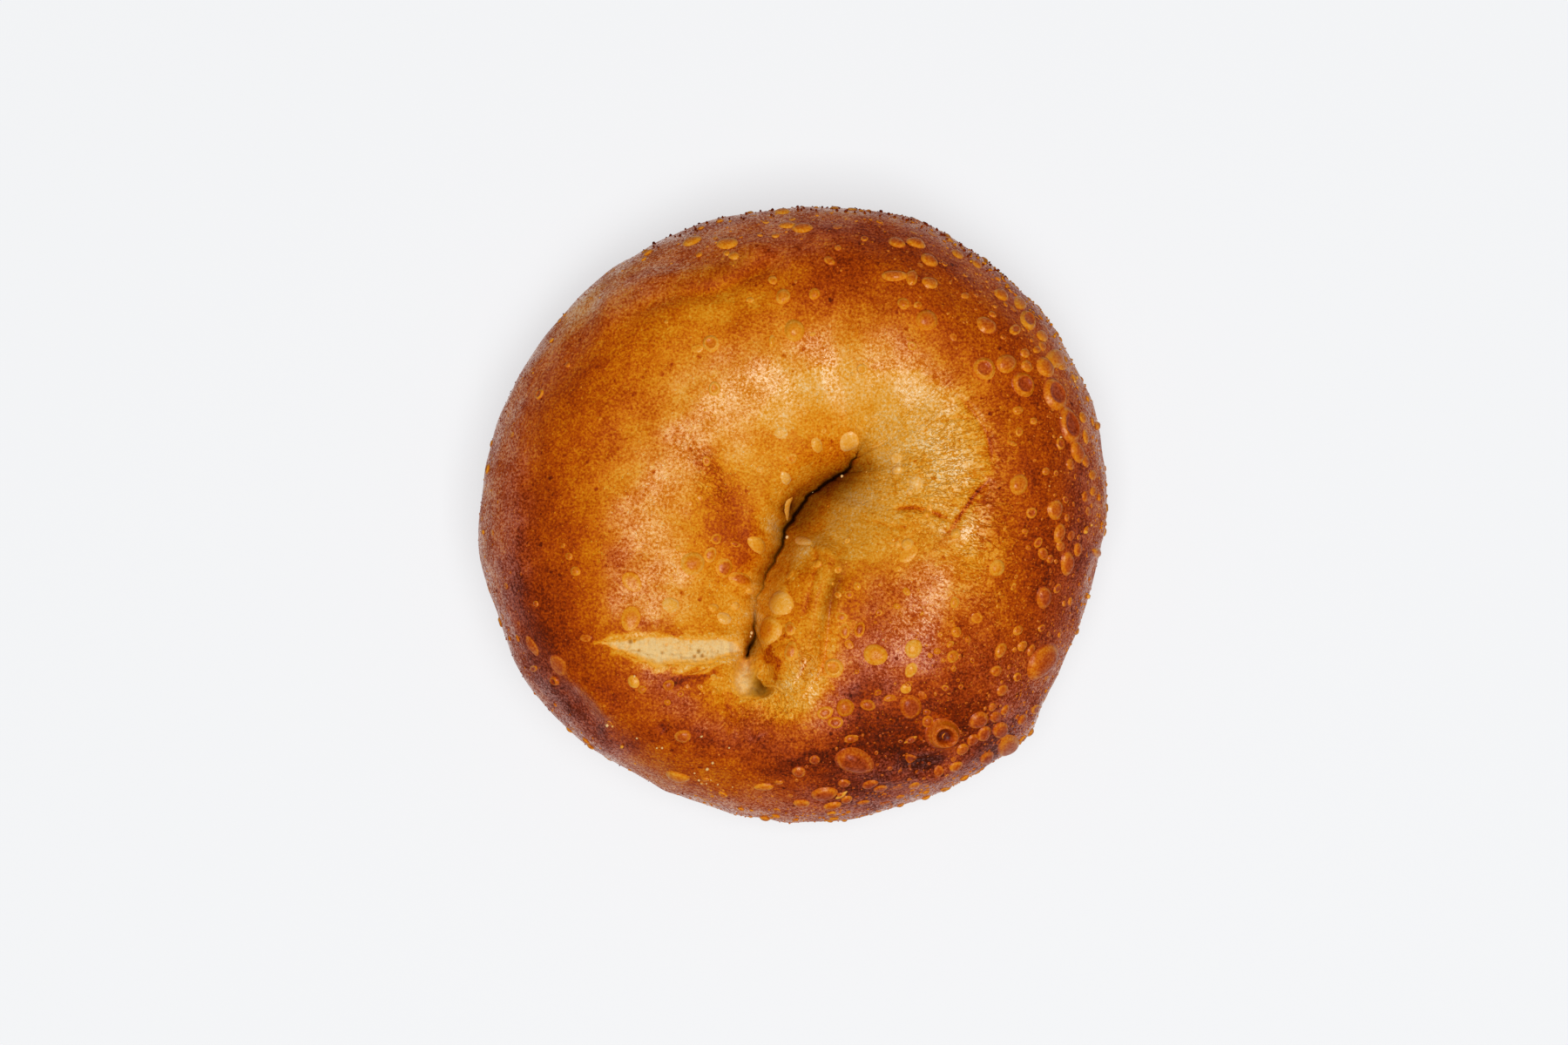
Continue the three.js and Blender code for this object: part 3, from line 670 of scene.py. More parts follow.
def lower_surface(reach, angle):
    """The underside: reach is 2 at the girth, 3 at the foot, 4 at the crease, 5 at its bottom."""
    turn = np.clip(reach - 2, 0, 1) * math.pi / 2
    inward = FOOT_INSET * (1 - np.clip(np.cos(turn), 0, 1) ** (2 / FLANK_POWER))
    place = outline(angle, inward)
    height = GIRTH_HEIGHT * (1 - np.sin(turn) ** (2 / FLANK_POWER))
    along = np.array([math.cos(SLIT_HEADING), math.sin(SLIT_HEADING)])
    beside = np.array([-along[1], along[0]])
    lengthwise = DIMPLE_HALF_LENGTH * np.cos(angle - SLIT_HEADING)
    crosswise = DIMPLE_HALF_WIDTH * np.sin(angle - SLIT_HEADING)
    edge = np.array(DIMPLE_AT) + lengthwise[:, None] * along + crosswise[:, None] * beside
    pinch = np.array(DIMPLE_AT) + DIMPLE_PINCH * lengthwise[:, None] * along
    flat = np.clip(reach - 3, 0, 1)[:, None]
    inside = np.clip(reach - 4, 0, 1)
    place = place + flat * (edge - place) + inside[:, None] * (pinch - edge)
    height = height + DIMPLE_DEPTH * inside * inside * (3 - 2 * inside)
    return np.column_stack([place, height])


def skin_point(reach, angle):
    """The place of a single reach and angle on the smooth skin."""
    surface = upper_surface if reach < 2 else lower_surface
    return surface(np.array([reach]), np.array([angle]))[0]


def upper_normal(reach, angle):
    step = 0.002
    outer = upper_surface(np.minimum(2, reach + step), angle)
    inner = upper_surface(np.maximum(0, reach - step), angle)
    after = upper_surface(reach, angle + step)
    before = upper_surface(reach, angle - step)
    normal = np.cross(outer - inner, after - before)
    return normal / np.maximum(np.linalg.norm(normal, axis=1, keepdims=True), 1e-9)


def skin_swell(points):
    """Slow dents and swellings of the skin, a fifth of a millimetre or so."""
    random = np.random.default_rng(SWELL_SEED)
    height = np.zeros(len(points))
    for wavelength in SWELL_WAVELENGTHS:
        for _ in range(3):
            direction = random.normal(size=3)
            direction *= 2 * math.pi / wavelength / np.linalg.norm(direction)
            phase = random.uniform(*ANY_PHASE)
            height += SWELL_SHARE * wavelength * np.sin(points @ direction + phase)
    return height


def crust_ring(reach, angle, opened=True):
    """The points of one ring of the crust, with or without the openings cut down to the crumb."""
    if reach[0] > 2:
        points = lower_surface(reach, angle)
        fade = smooth_step(3 - reach, 0, 1)[:, None]
        radial = np.column_stack([np.cos(angle), np.sin(angle), np.zeros_like(angle)])
        return points + skin_swell(points)[:, None] * fade * radial
    points = upper_surface(reach, angle)
    x, y = seen_on_plan(points)
    outward = upper_normal(reach, angle) if reach[0] > 1 else np.array([[0, 0, 1.0]])
    swell = skin_swell(points) * smooth_step(reach, 0, SWELL_START)
    settle = smooth_step(reach, 0, RELIEF_START)
    points = points + (relief(x, y) * settle + swell)[:, None] * outward
    if opened:
        points[:, 2] -= openings_depth(x, y)
    return points


def ring_plan():
    """Reach and number of points of every ring, from the slit to the bottom of the crease."""
    for zone, count in enumerate(ZONE_RINGS):
        for i in range(count):
            share = (i / count) ** SLIT_CROWDING if zone == 0 else i / count
            points = ZONE_POINTS[zone] + share * (ZONE_POINTS[zone + 1] - ZONE_POINTS[zone])
            yield zone + share, 2 * round(points / 2)
    yield len(ZONE_RINGS), ZONE_POINTS[-1]


def stitch(faces, inner, outer):
    """Triangles between two rings, taking the next point from whichever ring lags behind."""
    i = j = 0
    n, m = len(inner), len(outer)
    while i < n or j < m:
        if j == m or (i < n and (i + 0.5) * m <= (j + 0.5) * n):
            face = (inner[i], outer[j % m], inner[(i + 1) % n])
            i += 1
        else:
            face = (inner[i % n], outer[j], outer[(j + 1) % m])
            j += 1
        if len(set(face)) == 3:
            faces.append(face)


def crust_mesh():
    """Points, the same without openings, faces, and the reach and angle of every point."""
    plan = list(ring_plan())
    rings, whole, places, faces, made = [], [], [], [], 0
    inner = None
    for k, (reach, points) in enumerate(plan):
        folded = k in (0, len(plan) - 1)  # the first and last rings lie folded flat on a line
        count = points // 2 + 1 if folded else points
        angle = SLIT_HEADING + 2 * math.pi * np.arange(count) / points
        reaches = np.full(count, float(reach))
        rings.append(crust_ring(reaches, angle))
        whole.append(crust_ring(reaches, angle, opened=False))
        places.append(np.column_stack([reaches, angle]))
        corners = [made + (min(i, points - i) if folded else i) for i in range(points)]
        made += count
        if inner is not None:
            stitch(faces, inner, corners)
        inner = corners
    return np.concatenate(rings), np.concatenate(whole), faces, np.concatenate(places)


# ---------------------------------------------------------------- values at the crust's points


def patches(table, x, y):
    """The sum of oval patches that fade outwards."""
    total = np.zeros_like(x)
    for px, py, half_length, half_width, turn, change in table.values():
        cx, cy = on_plan((px, py))
        c, s = math.cos(math.radians(turn)), math.sin(math.radians(turn))
        along = ((x - cx) * c + (y - cy) * s) / (half_length * PLAN_DOT)
        beside = ((y - cy) * c - (x - cx) * s) / (half_width * PLAN_DOT)
        total += change * np.exp(-(along**2) - beside**2)
    return total


def on_top(reach):
    """1 on the upper side, fading to 0 just below the girth."""
    return smooth_step(2.1 - reach, 0, 0.3)


def crust_bake(points, places):
    """How dark each point of the crust is baked, with painted shade in its creases and painted light on its
    ridges.
    """
    reach = places[:, 0]
    above = on_top(reach)
    seen = seen_on_plan(points)
    x, y = waver(*seen, *BAKE_WAVER)
    bake = spline(BAKE_BY_REACH, reach / 5) + patches(BAKE_PATCHES, x, y) * above
    # Painted shade along creases and painted light along ridges, with some browning in the creases
    for line, width, rise in STROKES.values():
        distance, strength = beside_stroke(line, *seen)
        change = (FOLD_BAKE_AND_SHADE[0] if rise < 0 else FOLD_BAKE_AND_SHADE[1]) * (rise / width) ** 2
        bake += change * bell(distance, FOLD_BAKE_AND_SHADE_WIDTH * width) * strength * above
    for dots, softness, change in BAKE_REGIONS.values():
        bake += change * smooth_step(inside_distance(dots, x, y), -softness, softness) * above
    pale = bell(np.minimum(openings_edge(x, y), 0), LIP_WIDTH) * above
    return bake * (1 - LIP_FADE * pale) + LIP_BAKE * pale


def crust_texture(points, places):
    """Where the skin is oily, wrinkled and beaded, and which way its wrinkles run: out from the slit."""
    reach, angle = places.T
    x, y = waver(*seen_on_plan(points), *TEXTURE_WAVER)
    above = on_top(reach)
    wrinkles = np.clip(BASE_WRINKLES + patches(WRINKLE_PATCHES, x, y), 0, 1) * above
    beads = np.clip(BASE_BEADS + patches(BEAD_PATCHES, x, y), 0, 1)
    beads = beads * (UNDERSIDE_BEADS + (1 - UNDERSIDE_BEADS) * above)
    run = np.minimum(reach, 2) * WRINKLE_RUN + np.maximum(reach - 2, 0) * WRINKLE_TURN
    flow = np.column_stack([WRINKLE_TURN * np.cos(angle), WRINKLE_TURN * np.sin(angle), run]) * MM
    gloss = np.clip(spline(SHEEN_BY_REACH, reach / 2) + patches(SHEEN_PATCHES, x, y) * above, 0, 1)
    gloss = gloss * (UNDERSIDE_GLOSS + (1 - UNDERSIDE_GLOSS) * smooth_step(2.6 - reach, 0, 0.5))
    return {"wrinkles": wrinkles, "beads": beads, "flow": flow, "gloss": gloss}


def crust_shade(points, places):
    """How deep in painted shade each point of the crust lies: in the slit's dark core, on its walls and in
    folds and hollows.
    """
    reach, angle = places.T
    mouth, share = slit_frame(angle)
    distance = across_share(np.minimum(reach, 1)) * np.hypot(*(outline(angle, 0) - mouth).T)
    # Painted shade: a dark core down the gap, the slit's walls darkened beside it, and the shade patches
    core = bell(distance, CORE_WIDTH * spline(GAP_HALF_WIDTHS, share))
    core = core * np.clip(spline(GAP_DEPTHS, share) / CORE_DEPTH, 0, DARKEST_CORE)
    left = smooth_step(np.sin(angle - SLIT_HEADING), -0.3, 0.3)
    depth = by_side(LEFT_WALL_SHADES, RIGHT_WALL_SHADES, share, left)
    width = by_side(LEFT_WALL_WIDTHS, RIGHT_WALL_WIDTHS, share, left)
    shade = core + (1 - core) * depth * bell(distance, width)
    shade = shade + (1 - shade) * patches(SHADE_PATCHES, *seen_on_plan(points))
    return np.clip(shade, 0, 1) * on_top(reach)


# ---------------------------------------------------------------- making and seating pieces


def add_object(name, data):
    thing = bpy.data.objects.new(name, data)
    bpy.context.collection.objects.link(thing)
    return thing


def make_piece(name, points, faces, material, **values):
    """A smooth mesh with named values at its points, from the bread's millimetres to shared metres."""
    mesh = bpy.data.meshes.new(name)
    mesh.from_pydata(((points + SHIFT) * MM).tolist(), [], faces)
    mesh.polygons.foreach_set("use_smooth", [True] * len(mesh.polygons))
    for key, numbers in values.items():
        kind, field = ("FLOAT", "value") if numbers.ndim == 1 else ("FLOAT_VECTOR", "vector")
        mesh.attributes.new(key, kind, "POINT").data.foreach_set(field, numbers.ravel())
    mesh.materials.append(material)
    mesh.update()
    piece = add_object(name, mesh)
    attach(piece, "root")
    return piece


class Skin:
    """The finished crust, to find the place, the normal and the bake under a spot."""

    def __init__(self, points, faces, bake):
        self.tree = BVHTree.FromPolygons(points.tolist(), faces)
        self.faces = faces
        self.bake = bake

    def _at(self, hit):
        place, normal, face, _ = hit
        if place is None:
            return None
        return np.array(place), np.array(normal), float(np.mean(self.bake[list(self.faces[face])]))

    def under(self, x, y):
        """What shows at a place of the plan."""
        eye = Vector(EYE)
        return self._at(self.tree.ray_cast(eye, (Vector((x, y, GIRTH_HEIGHT)) - eye).normalized()))

    def nearest(self, point):
        return self._at(self.tree.find_nearest(Vector(point)))

    def under_dot(self, px, py):
        """What shows at a plan dot, or lies nearest to one just outside the outline."""
        x, y = on_plan((px, py))
        return self.under(x, y) or self.nearest((x, y, GIRTH_HEIGHT + 3))

    def below(self, point, normal, lift=2.5):
        """The skin's place on the line through a point along a normal, or the point itself."""
        start = Vector(point + lift * normal)
        place = self.tree.ray_cast(start, Vector(-normal), 2 * lift)[0]
        return point if place is None else np.array(place)


class Heap:
    """Many small shells gathered into one mesh."""

    def __init__(self):
        self.points, self.faces, self.bakes, self.shades, self.count = [], [], [], [], 0

    def add(self, points, faces, bake, shade=0.0):
        self.points.append(points)
        self.faces.extend([tuple(self.count + i for i in face) for face in faces])
        self.bakes.append(np.broadcast_to(bake, len(points)))
        self.shades.append(np.broadcast_to(shade, len(points)))
        self.count += len(points)

    def piece(self, name, material):
        values = {"bake": np.concatenate(self.bakes), "shade": np.concatenate(self.shades)}
        return make_piece(name, np.concatenate(self.points), self.faces, material, **values)


# ---------------------------------------------------------------- crumb

CRUMB_STEP = 0.14
CRUMB_TUCK = 0.25  # how far the sheet reaches in under the crust
CRUMB_MARGIN = 0.5
CRUMB_SINK = (0.12, 0.4)  # how far it lies below the skin at the lip, and how much more further in
CRUMB_PIT_DEPTH = PIT_DEPTH + 0.3
CRUMB_WAVELENGTHS = (2.6, 1.7, 1.1, 0.75, 0.5)
CRUMB_WAVE_SHARE = 0.028
PORE_DEPTH = 0.5
PORE_SHADE = 0.6
# The crumb is browner near its border, and that in a wider hem below the crack's middle line
CRUMB_BROWNING = 0.22
CRUMB_HEM = (0.35, 0.75)
CRACK_MIDDLE = (770, 750)
CRUMB_TONES = {"crack": -0.11, "window": -0.08}
CRUMB_SHADE = {"pit": (875, 788, 15, 10, -52, 0.80), "pit floor": (866, 796, 9, 6, 0, 0.35)}
# Place on the plan, radius
BIG_PORES = [
    (802, 748, 0.32), (797, 754, 0.25), (806, 753, 0.28), (811, 757, 0.2), (824, 748, 0.18),
    (723, 737, 0.35), (728, 734, 0.25), (733, 747, 0.22), (760, 750, 0.25), (779, 744, 0.15),
    (792, 745, 0.15),
]
# How many small pores there are, and from where to where on the plan, with radii from and to
SMALL_PORES = (70, (700, 850), (728, 768), (0.06, 0.15))


def crack_pores(random):
    """Place in millimetres and radius of every pore in the crack."""
    pores = list(BIG_PORES)
    count, *ranges = SMALL_PORES
    for _ in range(count):
        pores.append([random.uniform(*limits) for limits in ranges])
    return [(*on_plan((px, py)), radius) for px, py, radius in pores]


def crumb_patch(outline_dots, skin, pores, tone, random):
    """A sheet of open crumb a little below the lips of an opening: points, faces, bake, shade."""
    line = np.array(closed_line(outline_dots))
    low, high = line.min(0) - CRUMB_MARGIN, line.max(0) + CRUMB_MARGIN
    xs = np.arange(low[0], high[0], CRUMB_STEP)
    ys = np.arange(low[1], high[1], CRUMB_STEP)
    x, y = [a.ravel() for a in np.meshgrid(xs, ys)]
    edge = opening_edge(outline_dots, x, y)
    keep = edge > -CRUMB_TUCK
    number = np.where(keep, np.cumsum(keep) - 1, -1).reshape(len(ys), len(xs))
    corners = np.stack([number[:-1, :-1], number[:-1, 1:], number[1:, 1:], number[1:, :-1]], axis=-1)
    faces = [tuple(face) for face in corners.reshape(-1, 4).tolist() if min(face) >= 0]
    x, y, edge = x[keep], y[keep], edge[keep]
    depth = CRUMB_SINK[0] + CRUMB_SINK[1] * smooth_step(edge, 0, 2.0)
    depth += CRUMB_PIT_DEPTH * pit_closeness(x, y)
    for wavelength in CRUMB_WAVELENGTHS:
        for _ in range(3):
            depth += CRUMB_WAVE_SHARE * wavelength * plan_wave(x, y, wavelength, random)
    hollow = np.zeros_like(x)
    for px, py, radius in pores:
        hollow = np.maximum(hollow, bell(np.hypot(x - px, y - py), radius) * min(1, radius / 0.3))
    points = np.array([skin.under(px, py)[0] for px, py in zip(x, y)])
    points[:, 2] -= depth + PORE_DEPTH * hollow
    below = smooth_step(on_plan(CRACK_MIDDLE)[1] - y, -1.0, 2.5)
    bake = tone + CRUMB_BROWNING * bell(edge, CRUMB_HEM[0] + CRUMB_HEM[1] * below)
    bake += 0.02 * np.sin(3 * x) * np.sin(2.6 * y)
    return points, faces, bake, np.clip(PORE_SHADE * hollow + patches(CRUMB_SHADE, x, y), 0, 1)


# ---------------------------------------------------------------- blisters


def dome_rise(rho):
    return np.clip(1 - rho**2.6, 0, 1) ** 0.8


def ring_rise(rho):
    return (0.45 + 0.55 * bell(rho - 0.72, 0.2)) * np.clip(1 - rho**5, 0, 1)


def crater_rise(rho):
    return (1.15 * bell(rho - 0.66, 0.24) + 0.05) * np.clip(1 - rho**6, 0, 1)


def faint_rise(rho):
    return 0.5 * np.clip(1 - rho**3, 0, 1)


# Shape, height as a share of width, the bake at the middle and near the rim (a share of the
# crust's, and what is added to it), and the shares of the radius between which the one turns
# into the other
BLISTER_KINDS = {
    "dome": (dome_rise, 0.25, (0.76, 0.01), (0.56, -0.05), (0.50, 0.85)),
    "ring": (ring_rise, 0.20, (0.85, 0.06), (0.52, -0.06), (0.50, 0.80)),
    "amber": (dome_rise, 0.20, (0.90, 0.10), (0.42, -0.06), (0.45, 0.95)),
    "crater": (crater_rise, 0.25, (0.95, 0.22), (0.64, -0.02), (0.25, 0.60)),
    "faint": (faint_rise, 0.12, (0.80, 0.00), (0.70, -0.05), (0.50, 0.85)),
    "pale": (dome_rise, 0.16, (0.45, -0.03), (0.34, -0.08), (0.50, 0.85)),
}
BLISTER_SHADE_LINE = (0.04, 0.28)  # painted shade: how much darker the line round a blister is on its lit and shaded sides
# Direction of the side in painted shade and its spread, in degrees, and that of the blisters at the lower
# right
BLISTER_SHADED_SIDE = (75.0, 50.0)
LOW_SHADED_SIDE = (225.0, 40.0)
LOW_RIGHT_CORNER = (5.0, -27.0)
BLISTER_BROWNING = 0.08  # how much darker a large blister is than a small one
LARGE_BLISTER = (2.2, 4.4)  # widths from which and to which blisters turn large
BLISTER_MESH = ((2.6, 4, 10), (9, 9, 36))  # rings and segments: for each millimetre, at least, at most
BLISTER_CROWDING = 0.7  # below 1, rings lie closer together near the rim
BLISTER_SHADE_LINE_SPAN = (0.86, 1)  # shares of the radius between which the painted shade line darkens
BLISTER_SPREAD = (0.85, 1.15)  # how the height of one blister differs from that of the next
BLISTER_TONE_SPREAD = (-0.03, 0.03)
BLISTER_LUMPS = (0.08, 5, 6)  # height of the lumps on a blister, and how often they wave each way
BLISTER_HEM = 1.1  # the hem round a blister, darkened by the painted shade line, as a share of its radius
BLISTER_HEM_RISE = 0.03
BLISTER_SKIRT = 0.07  # how far a blister's edge reaches into the crust
BLISTER_WOBBLE = ((2, 0.05), (3, 0.025))  # how its outline strays from round: waves, size
RIM_FLAT_LIMIT = 0.3  # steeper than this, a blister keeps its true size across the slope

# Where small blisters crowd: direction, spread in degrees, reach, spread of reach, weight
BLISTER_CROWDS = [
    (0, 45, 1.75, 0.30, 1.0), (-48, 28, 1.65, 0.35, 1.0), (48, 26, 1.70, 0.28, 1.0),
    (-80, 25, 1.80, 0.25, 0.6), (85, 30, 1.78, 0.22, 0.5), (-30, 30, 1.15, 0.35, 0.35),
    (215, 60, 1.85, 0.2, 0.12), (150, 40, 1.85, 0.2, 0.10),
]
BARE_CROWDING = 0.03
SCATTER_REACH = (0.15, 2.15)
SCATTER_POWER = 1.6  # above 1, small ones are more frequent
SCATTER_CLEARANCE = 0.5  # of a blister's width, to the rim of the nearest other one
# Count, widths from and to, kinds
SCATTERED_BLISTERS = [
    (640, (0.5, 2.2), ["dome", "dome", "ring", "faint"]),
    (1500, (0.26, 0.5), ["dome", "dome", "faint"]),
]


def disc_faces(rings, segments):
    """Faces of a disc: point 0 in the middle, then rings of points outwards."""
    faces = [(0, 1 + i, 1 + (i + 1) % segments) for i in range(segments)]
    for ring in range(rings - 1):
        start = 1 + ring * segments
        for i in range(segments):
            a, b = start + i, start + (i + 1) % segments
            faces.append((a, a + segments, b + segments, b))
    return faces


def along_slope(dx, dy, normal, plan_size):
    """Steps along a slope, which cover dx and dy on the plan, or on the slope itself."""
    if plan_size and normal[2] > RIM_FLAT_LIMIT:
        return np.column_stack([dx, dy, -(normal[0] * dx + normal[1] * dy) / normal[2]])
    level = np.array([-normal[1], normal[0], 0.0]) / max(math.hypot(normal[0], normal[1]), 1e-6)
    return dx[:, None] * level + dy[:, None] * np.cross(normal, level)


def add_blister(heap, skin, seat, width, height, turn, kind, random, plan_size=True):
    """One blister: a shaped disc that follows the crust and ends just under it."""
    place, normal, bake = seat
    shape, rise_share, middle, rim, turning = BLISTER_KINDS[kind]
    across = math.sqrt(width * height)
    rings, segments = [int(np.clip(each * across, least, most)) for each, least, most in BLISTER_MESH]
    rho = np.append(np.linspace(1 / rings, 1, rings) ** BLISTER_CROWDING, BLISTER_HEM)
    phi = 2 * math.pi * np.arange(segments) / segments
    wobble = np.ones(segments)
    for waves, size in BLISTER_WOBBLE:
        wobble += size * np.cos(waves * phi + random.uniform(*ANY_PHASE))
    u = np.append(0, (rho[:, None] * wobble * np.cos(phi)).ravel()) * width / 2
    v = np.append(0, (rho[:, None] * wobble * np.sin(phi)).ravel()) * height / 2
    c, s = math.cos(math.radians(turn)), math.sin(math.radians(turn))
    dx, dy = u * c - v * s, u * s + v * c
    rho = np.append(0, np.repeat(rho, segments))
    rise = across * rise_share * random.uniform(*BLISTER_SPREAD) * shape(rho)
    rise = np.where(rho > 0.99, BLISTER_HEM_RISE, rise)
    rise = np.where(rho > 1, -BLISTER_SKIRT, rise)
    lump, wide, high = BLISTER_LUMPS
    lumps = 1 + lump * np.sin(u * wide / across + random.uniform(*ANY_PHASE)) * np.sin(v * high / across)
    offsets = along_slope(dx, dy, normal, plan_size)
    grounded = np.array([skin.below(place + offset, normal) for offset in offsets])
    points = grounded + (rise * lumps)[:, None] * normal
    browning = BLISTER_BROWNING * float(smooth_step(across, *LARGE_BLISTER)) * min(1, bake / 0.4)
    middle, rim = [share * bake + change + browning for share, change in (middle, rim)]
    tone = np.where(rho > 1, bake, middle + (rim - middle) * smooth_step(rho, *turning))
    # Painted shade: a dark line round the blister, darkest on the side turned from the light
    low_right = place[0] > LOW_RIGHT_CORNER[0] and place[1] < LOW_RIGHT_CORNER[1]
    shaded_side = math.radians(random.normal(*(LOW_SHADED_SIDE if low_right else BLISTER_SHADED_SIDE)))
    side = (1 + np.cos(np.arctan2(dy, dx) - shaded_side)) / 2
    edge = BLISTER_SHADE_LINE[0] + (BLISTER_SHADE_LINE[1] - BLISTER_SHADE_LINE[0]) * side**2
    tone = tone + edge * smooth_step(rho, *BLISTER_SHADE_LINE_SPAN) * min(1, 0.4 + bake)
    heap.add(points, disc_faces(rings + 1, segments), tone + random.uniform(*BLISTER_TONE_SPREAD))


def marked_blisters(heap, skin, random):
    """The blisters that have a place of their own; returns their places and radii."""
    seats = []
    for kind, marks in BLISTER_MARKS.items():
        for px, py, width, height, turn in marks:
            seat = skin.under_dot(px, py)
            add_blister(heap, skin, seat, width * PLAN_DOT, height * PLAN_DOT, turn, kind, random)
            seats.append((*seat[0], width * PLAN_DOT / 2))
    return seats


def crowding(reach, angle):
    """How likely a small blister is to grow at a place."""
    total = BARE_CROWDING
    for direction, spread, middle, depth, weight in BLISTER_CROWDS:
        aside = turned_away(angle, direction) / math.radians(spread)
        total += weight * math.exp(-(aside**2) - ((reach - middle) / depth) ** 2)
    return total


def scattered_blisters(heap, skin, seats, random, count, sizes, kinds):
    """Small blisters strewn by the crowding rule, clear of those already there."""
    taken = np.array(seats)
    made = 0
    while made < count:
        reach, angle = random.uniform(*SCATTER_REACH), random.uniform(0, 2 * math.pi)
        if random.uniform() > crowding(reach, angle):
            continue
        point = skin_point(reach, angle)
        width = sizes[0] * (sizes[1] / sizes[0]) ** (random.uniform() ** SCATTER_POWER)
        away = np.linalg.norm(taken[:, :3] - point, axis=1) - taken[:, 3]
        if away.min() < SCATTER_CLEARANCE * width or openings_depth(point[:1], point[1:2])[0] > 0:
            continue
        height = width * random.uniform(0.7, 1)
        kind = kinds[random.integers(len(kinds))]
        turn = random.uniform(0, 180)
        add_blister(heap, skin, skin.nearest(point), width, height, turn, kind, random, plan_size=False)
        taken = np.vstack([taken, (*point, width / 2)])
        made += 1


# ---------------------------------------------------------------- grit and flakes

# Grit on the rim: direction from and to, reach from and to, grains, sizes, bake
GRIT_BANDS = [
    (68, 118, 1.78, 2.12, 130, (0.25, 0.75), 0.80), (48, 66, 1.75, 2.10, 70, (0.25, 0.7), 0.74),
    (22, 60, 1.72, 2.12, 80, (0.25, 0.7), 0.20), (-30, 22, 1.75, 2.12, 45, (0.2, 0.55), 0.28),
    (118, 250, 1.80, 2.15, 60, (0.2, 0.45), 0.72), (250, 330, 1.80, 2.15, 60, (0.2, 0.5), 0.35),
]
GRIT_BAKE_SPREAD = 0.08
# Pale grains on the plan: place, size in dots, bake
PALE_GRAINS = [
    (697, 833, 5, -0.1), (703, 834, 4, 0.0), (714, 857, 6, 0.1), (731, 848, 3, -0.1), (754, 859, 4, -0.1),
    (760, 859, 4, -0.1), (805, 846, 4, -0.1), (818, 876, 5, -0.1), (812, 883, 5, -0.1), (837, 859, 4, -0.1),
    (802, 896, 4, -0.1), (811, 900, 3, -0.1), (816, 896, 3, -0.1), (824, 901, 3, -0.1), (841, 904, 3, -0.1),
    (805, 900, 3, -0.1), (797, 888, 3, -0.1), (967, 547, 4, -0.12), (933, 565, 3, -0.12),
    (904, 617, 5, -0.12), (862, 727, 6, -0.12), (861, 731, 4, -0.12), (1236, 434, 6, 0.1),
    (1234, 438, 4, 0.0), (1216, 418, 6, 0.1), (1217, 461, 4, -0.1), (1218, 480, 4, -0.1),
    (1218, 502, 4, -0.1), (1255, 488, 3, -0.1), (1249, 685, 7, 0.05), (1253, 603, 5, 0.0),
    (1246, 611, 6, 0.1), (728, 777, 4, -0.1), (1014, 735, 3, -0.1), (1205, 558, 3, 0.0),
]
# Flakes: line of plan dots, width, lift of the middle, bake
FLAKES = [
    ([(789, 775), (800, 773), (813, 767)], 0.5, 0.35, 0.30),
    ([(1038, 854), (1046, 849), (1053, 846)], 0.7, 0.4, 0.25),
    ([(999, 514), (1008, 511), (1019, 504)], 0.4, 0.2, 0.02),
    ([(959, 918), (966, 914), (973, 909)], 0.7, 0.4, 0.10),
    ([(910, 571), (904, 580), (904, 600)], 1.0, 0.3, 0.06),
    ([(970, 850), (978, 846), (986, 846)], 0.5, 0.25, 0.30),
    ([(1084, 852), (1082, 846), (1086, 841)], 0.4, 0.3, 0.40),
    ([(885, 787), (893, 790), (900, 796)], 0.5, 0.2, 0.08),
]
GRAIN_LIFT = 0.15  # how far a grain's middle lies above the crust, as a share of its size
FLAKE_TUCK = 0.03  # how far a flake's edges reach into the crust
FLAKE_TIP = 0.12  # how blunt a flake's tips are


def grain_shape():
    """The twelve corners, one unit from the middle, and the twenty faces of a grain."""
    golden = (1 + math.sqrt(5)) / 2
    corners = [(x, y * golden, 0) for x in (-1, 1) for y in (-1, 1)]
    corners = np.array(corners + [(0, a, b) for a, b, _ in corners] + [(b, 0, a) for a, b, _ in corners])
    near = np.abs(np.linalg.norm(corners[:, None] - corners, axis=2) - 2) < 0.1
    faces = []
    for i, j, k in combinations(range(len(corners)), 3):
        if near[i, j] and near[j, k] and near[i, k]:
            outward = np.cross(corners[j] - corners[i], corners[k] - corners[i]) @ corners[i] > 0
            faces.append((i, j, k) if outward else (i, k, j))
    return corners / math.hypot(1, golden), faces


GRAIN_CORNERS, GRAIN_FACES = grain_shape()


def add_granule(heap, seat, size, bake, random):
    """An uneven grain that sits on the crust."""
    place, normal, _ = seat
    corners = GRAIN_CORNERS * random.uniform(0.75, 1.1, (len(GRAIN_CORNERS), 1))
    axes = np.linalg.qr(random.normal(size=(3, 3)))[0]
    stretch = size / 2 * random.uniform(0.6, 1.1, 3)
    heap.add(place + GRAIN_LIFT * size * normal + (corners * stretch) @ axes.T, GRAIN_FACES, bake)


def add_grit(heap, skin, random):
    for start, stop, inner, outer, count, sizes, bake in GRIT_BANDS:
        for _ in range(count):
            angle = math.radians(random.uniform(start, stop))
            seat = skin.nearest(skin_point(random.uniform(inner, outer), angle))
            size = random.uniform(*sizes)
            tone = bake + random.uniform(-GRIT_BAKE_SPREAD, GRIT_BAKE_SPREAD)
            add_granule(heap, seat, size, tone, random)
    for px, py, size, bake in PALE_GRAINS:
        add_granule(heap, skin.under_dot(px, py), size * PLAN_DOT, bake, random)


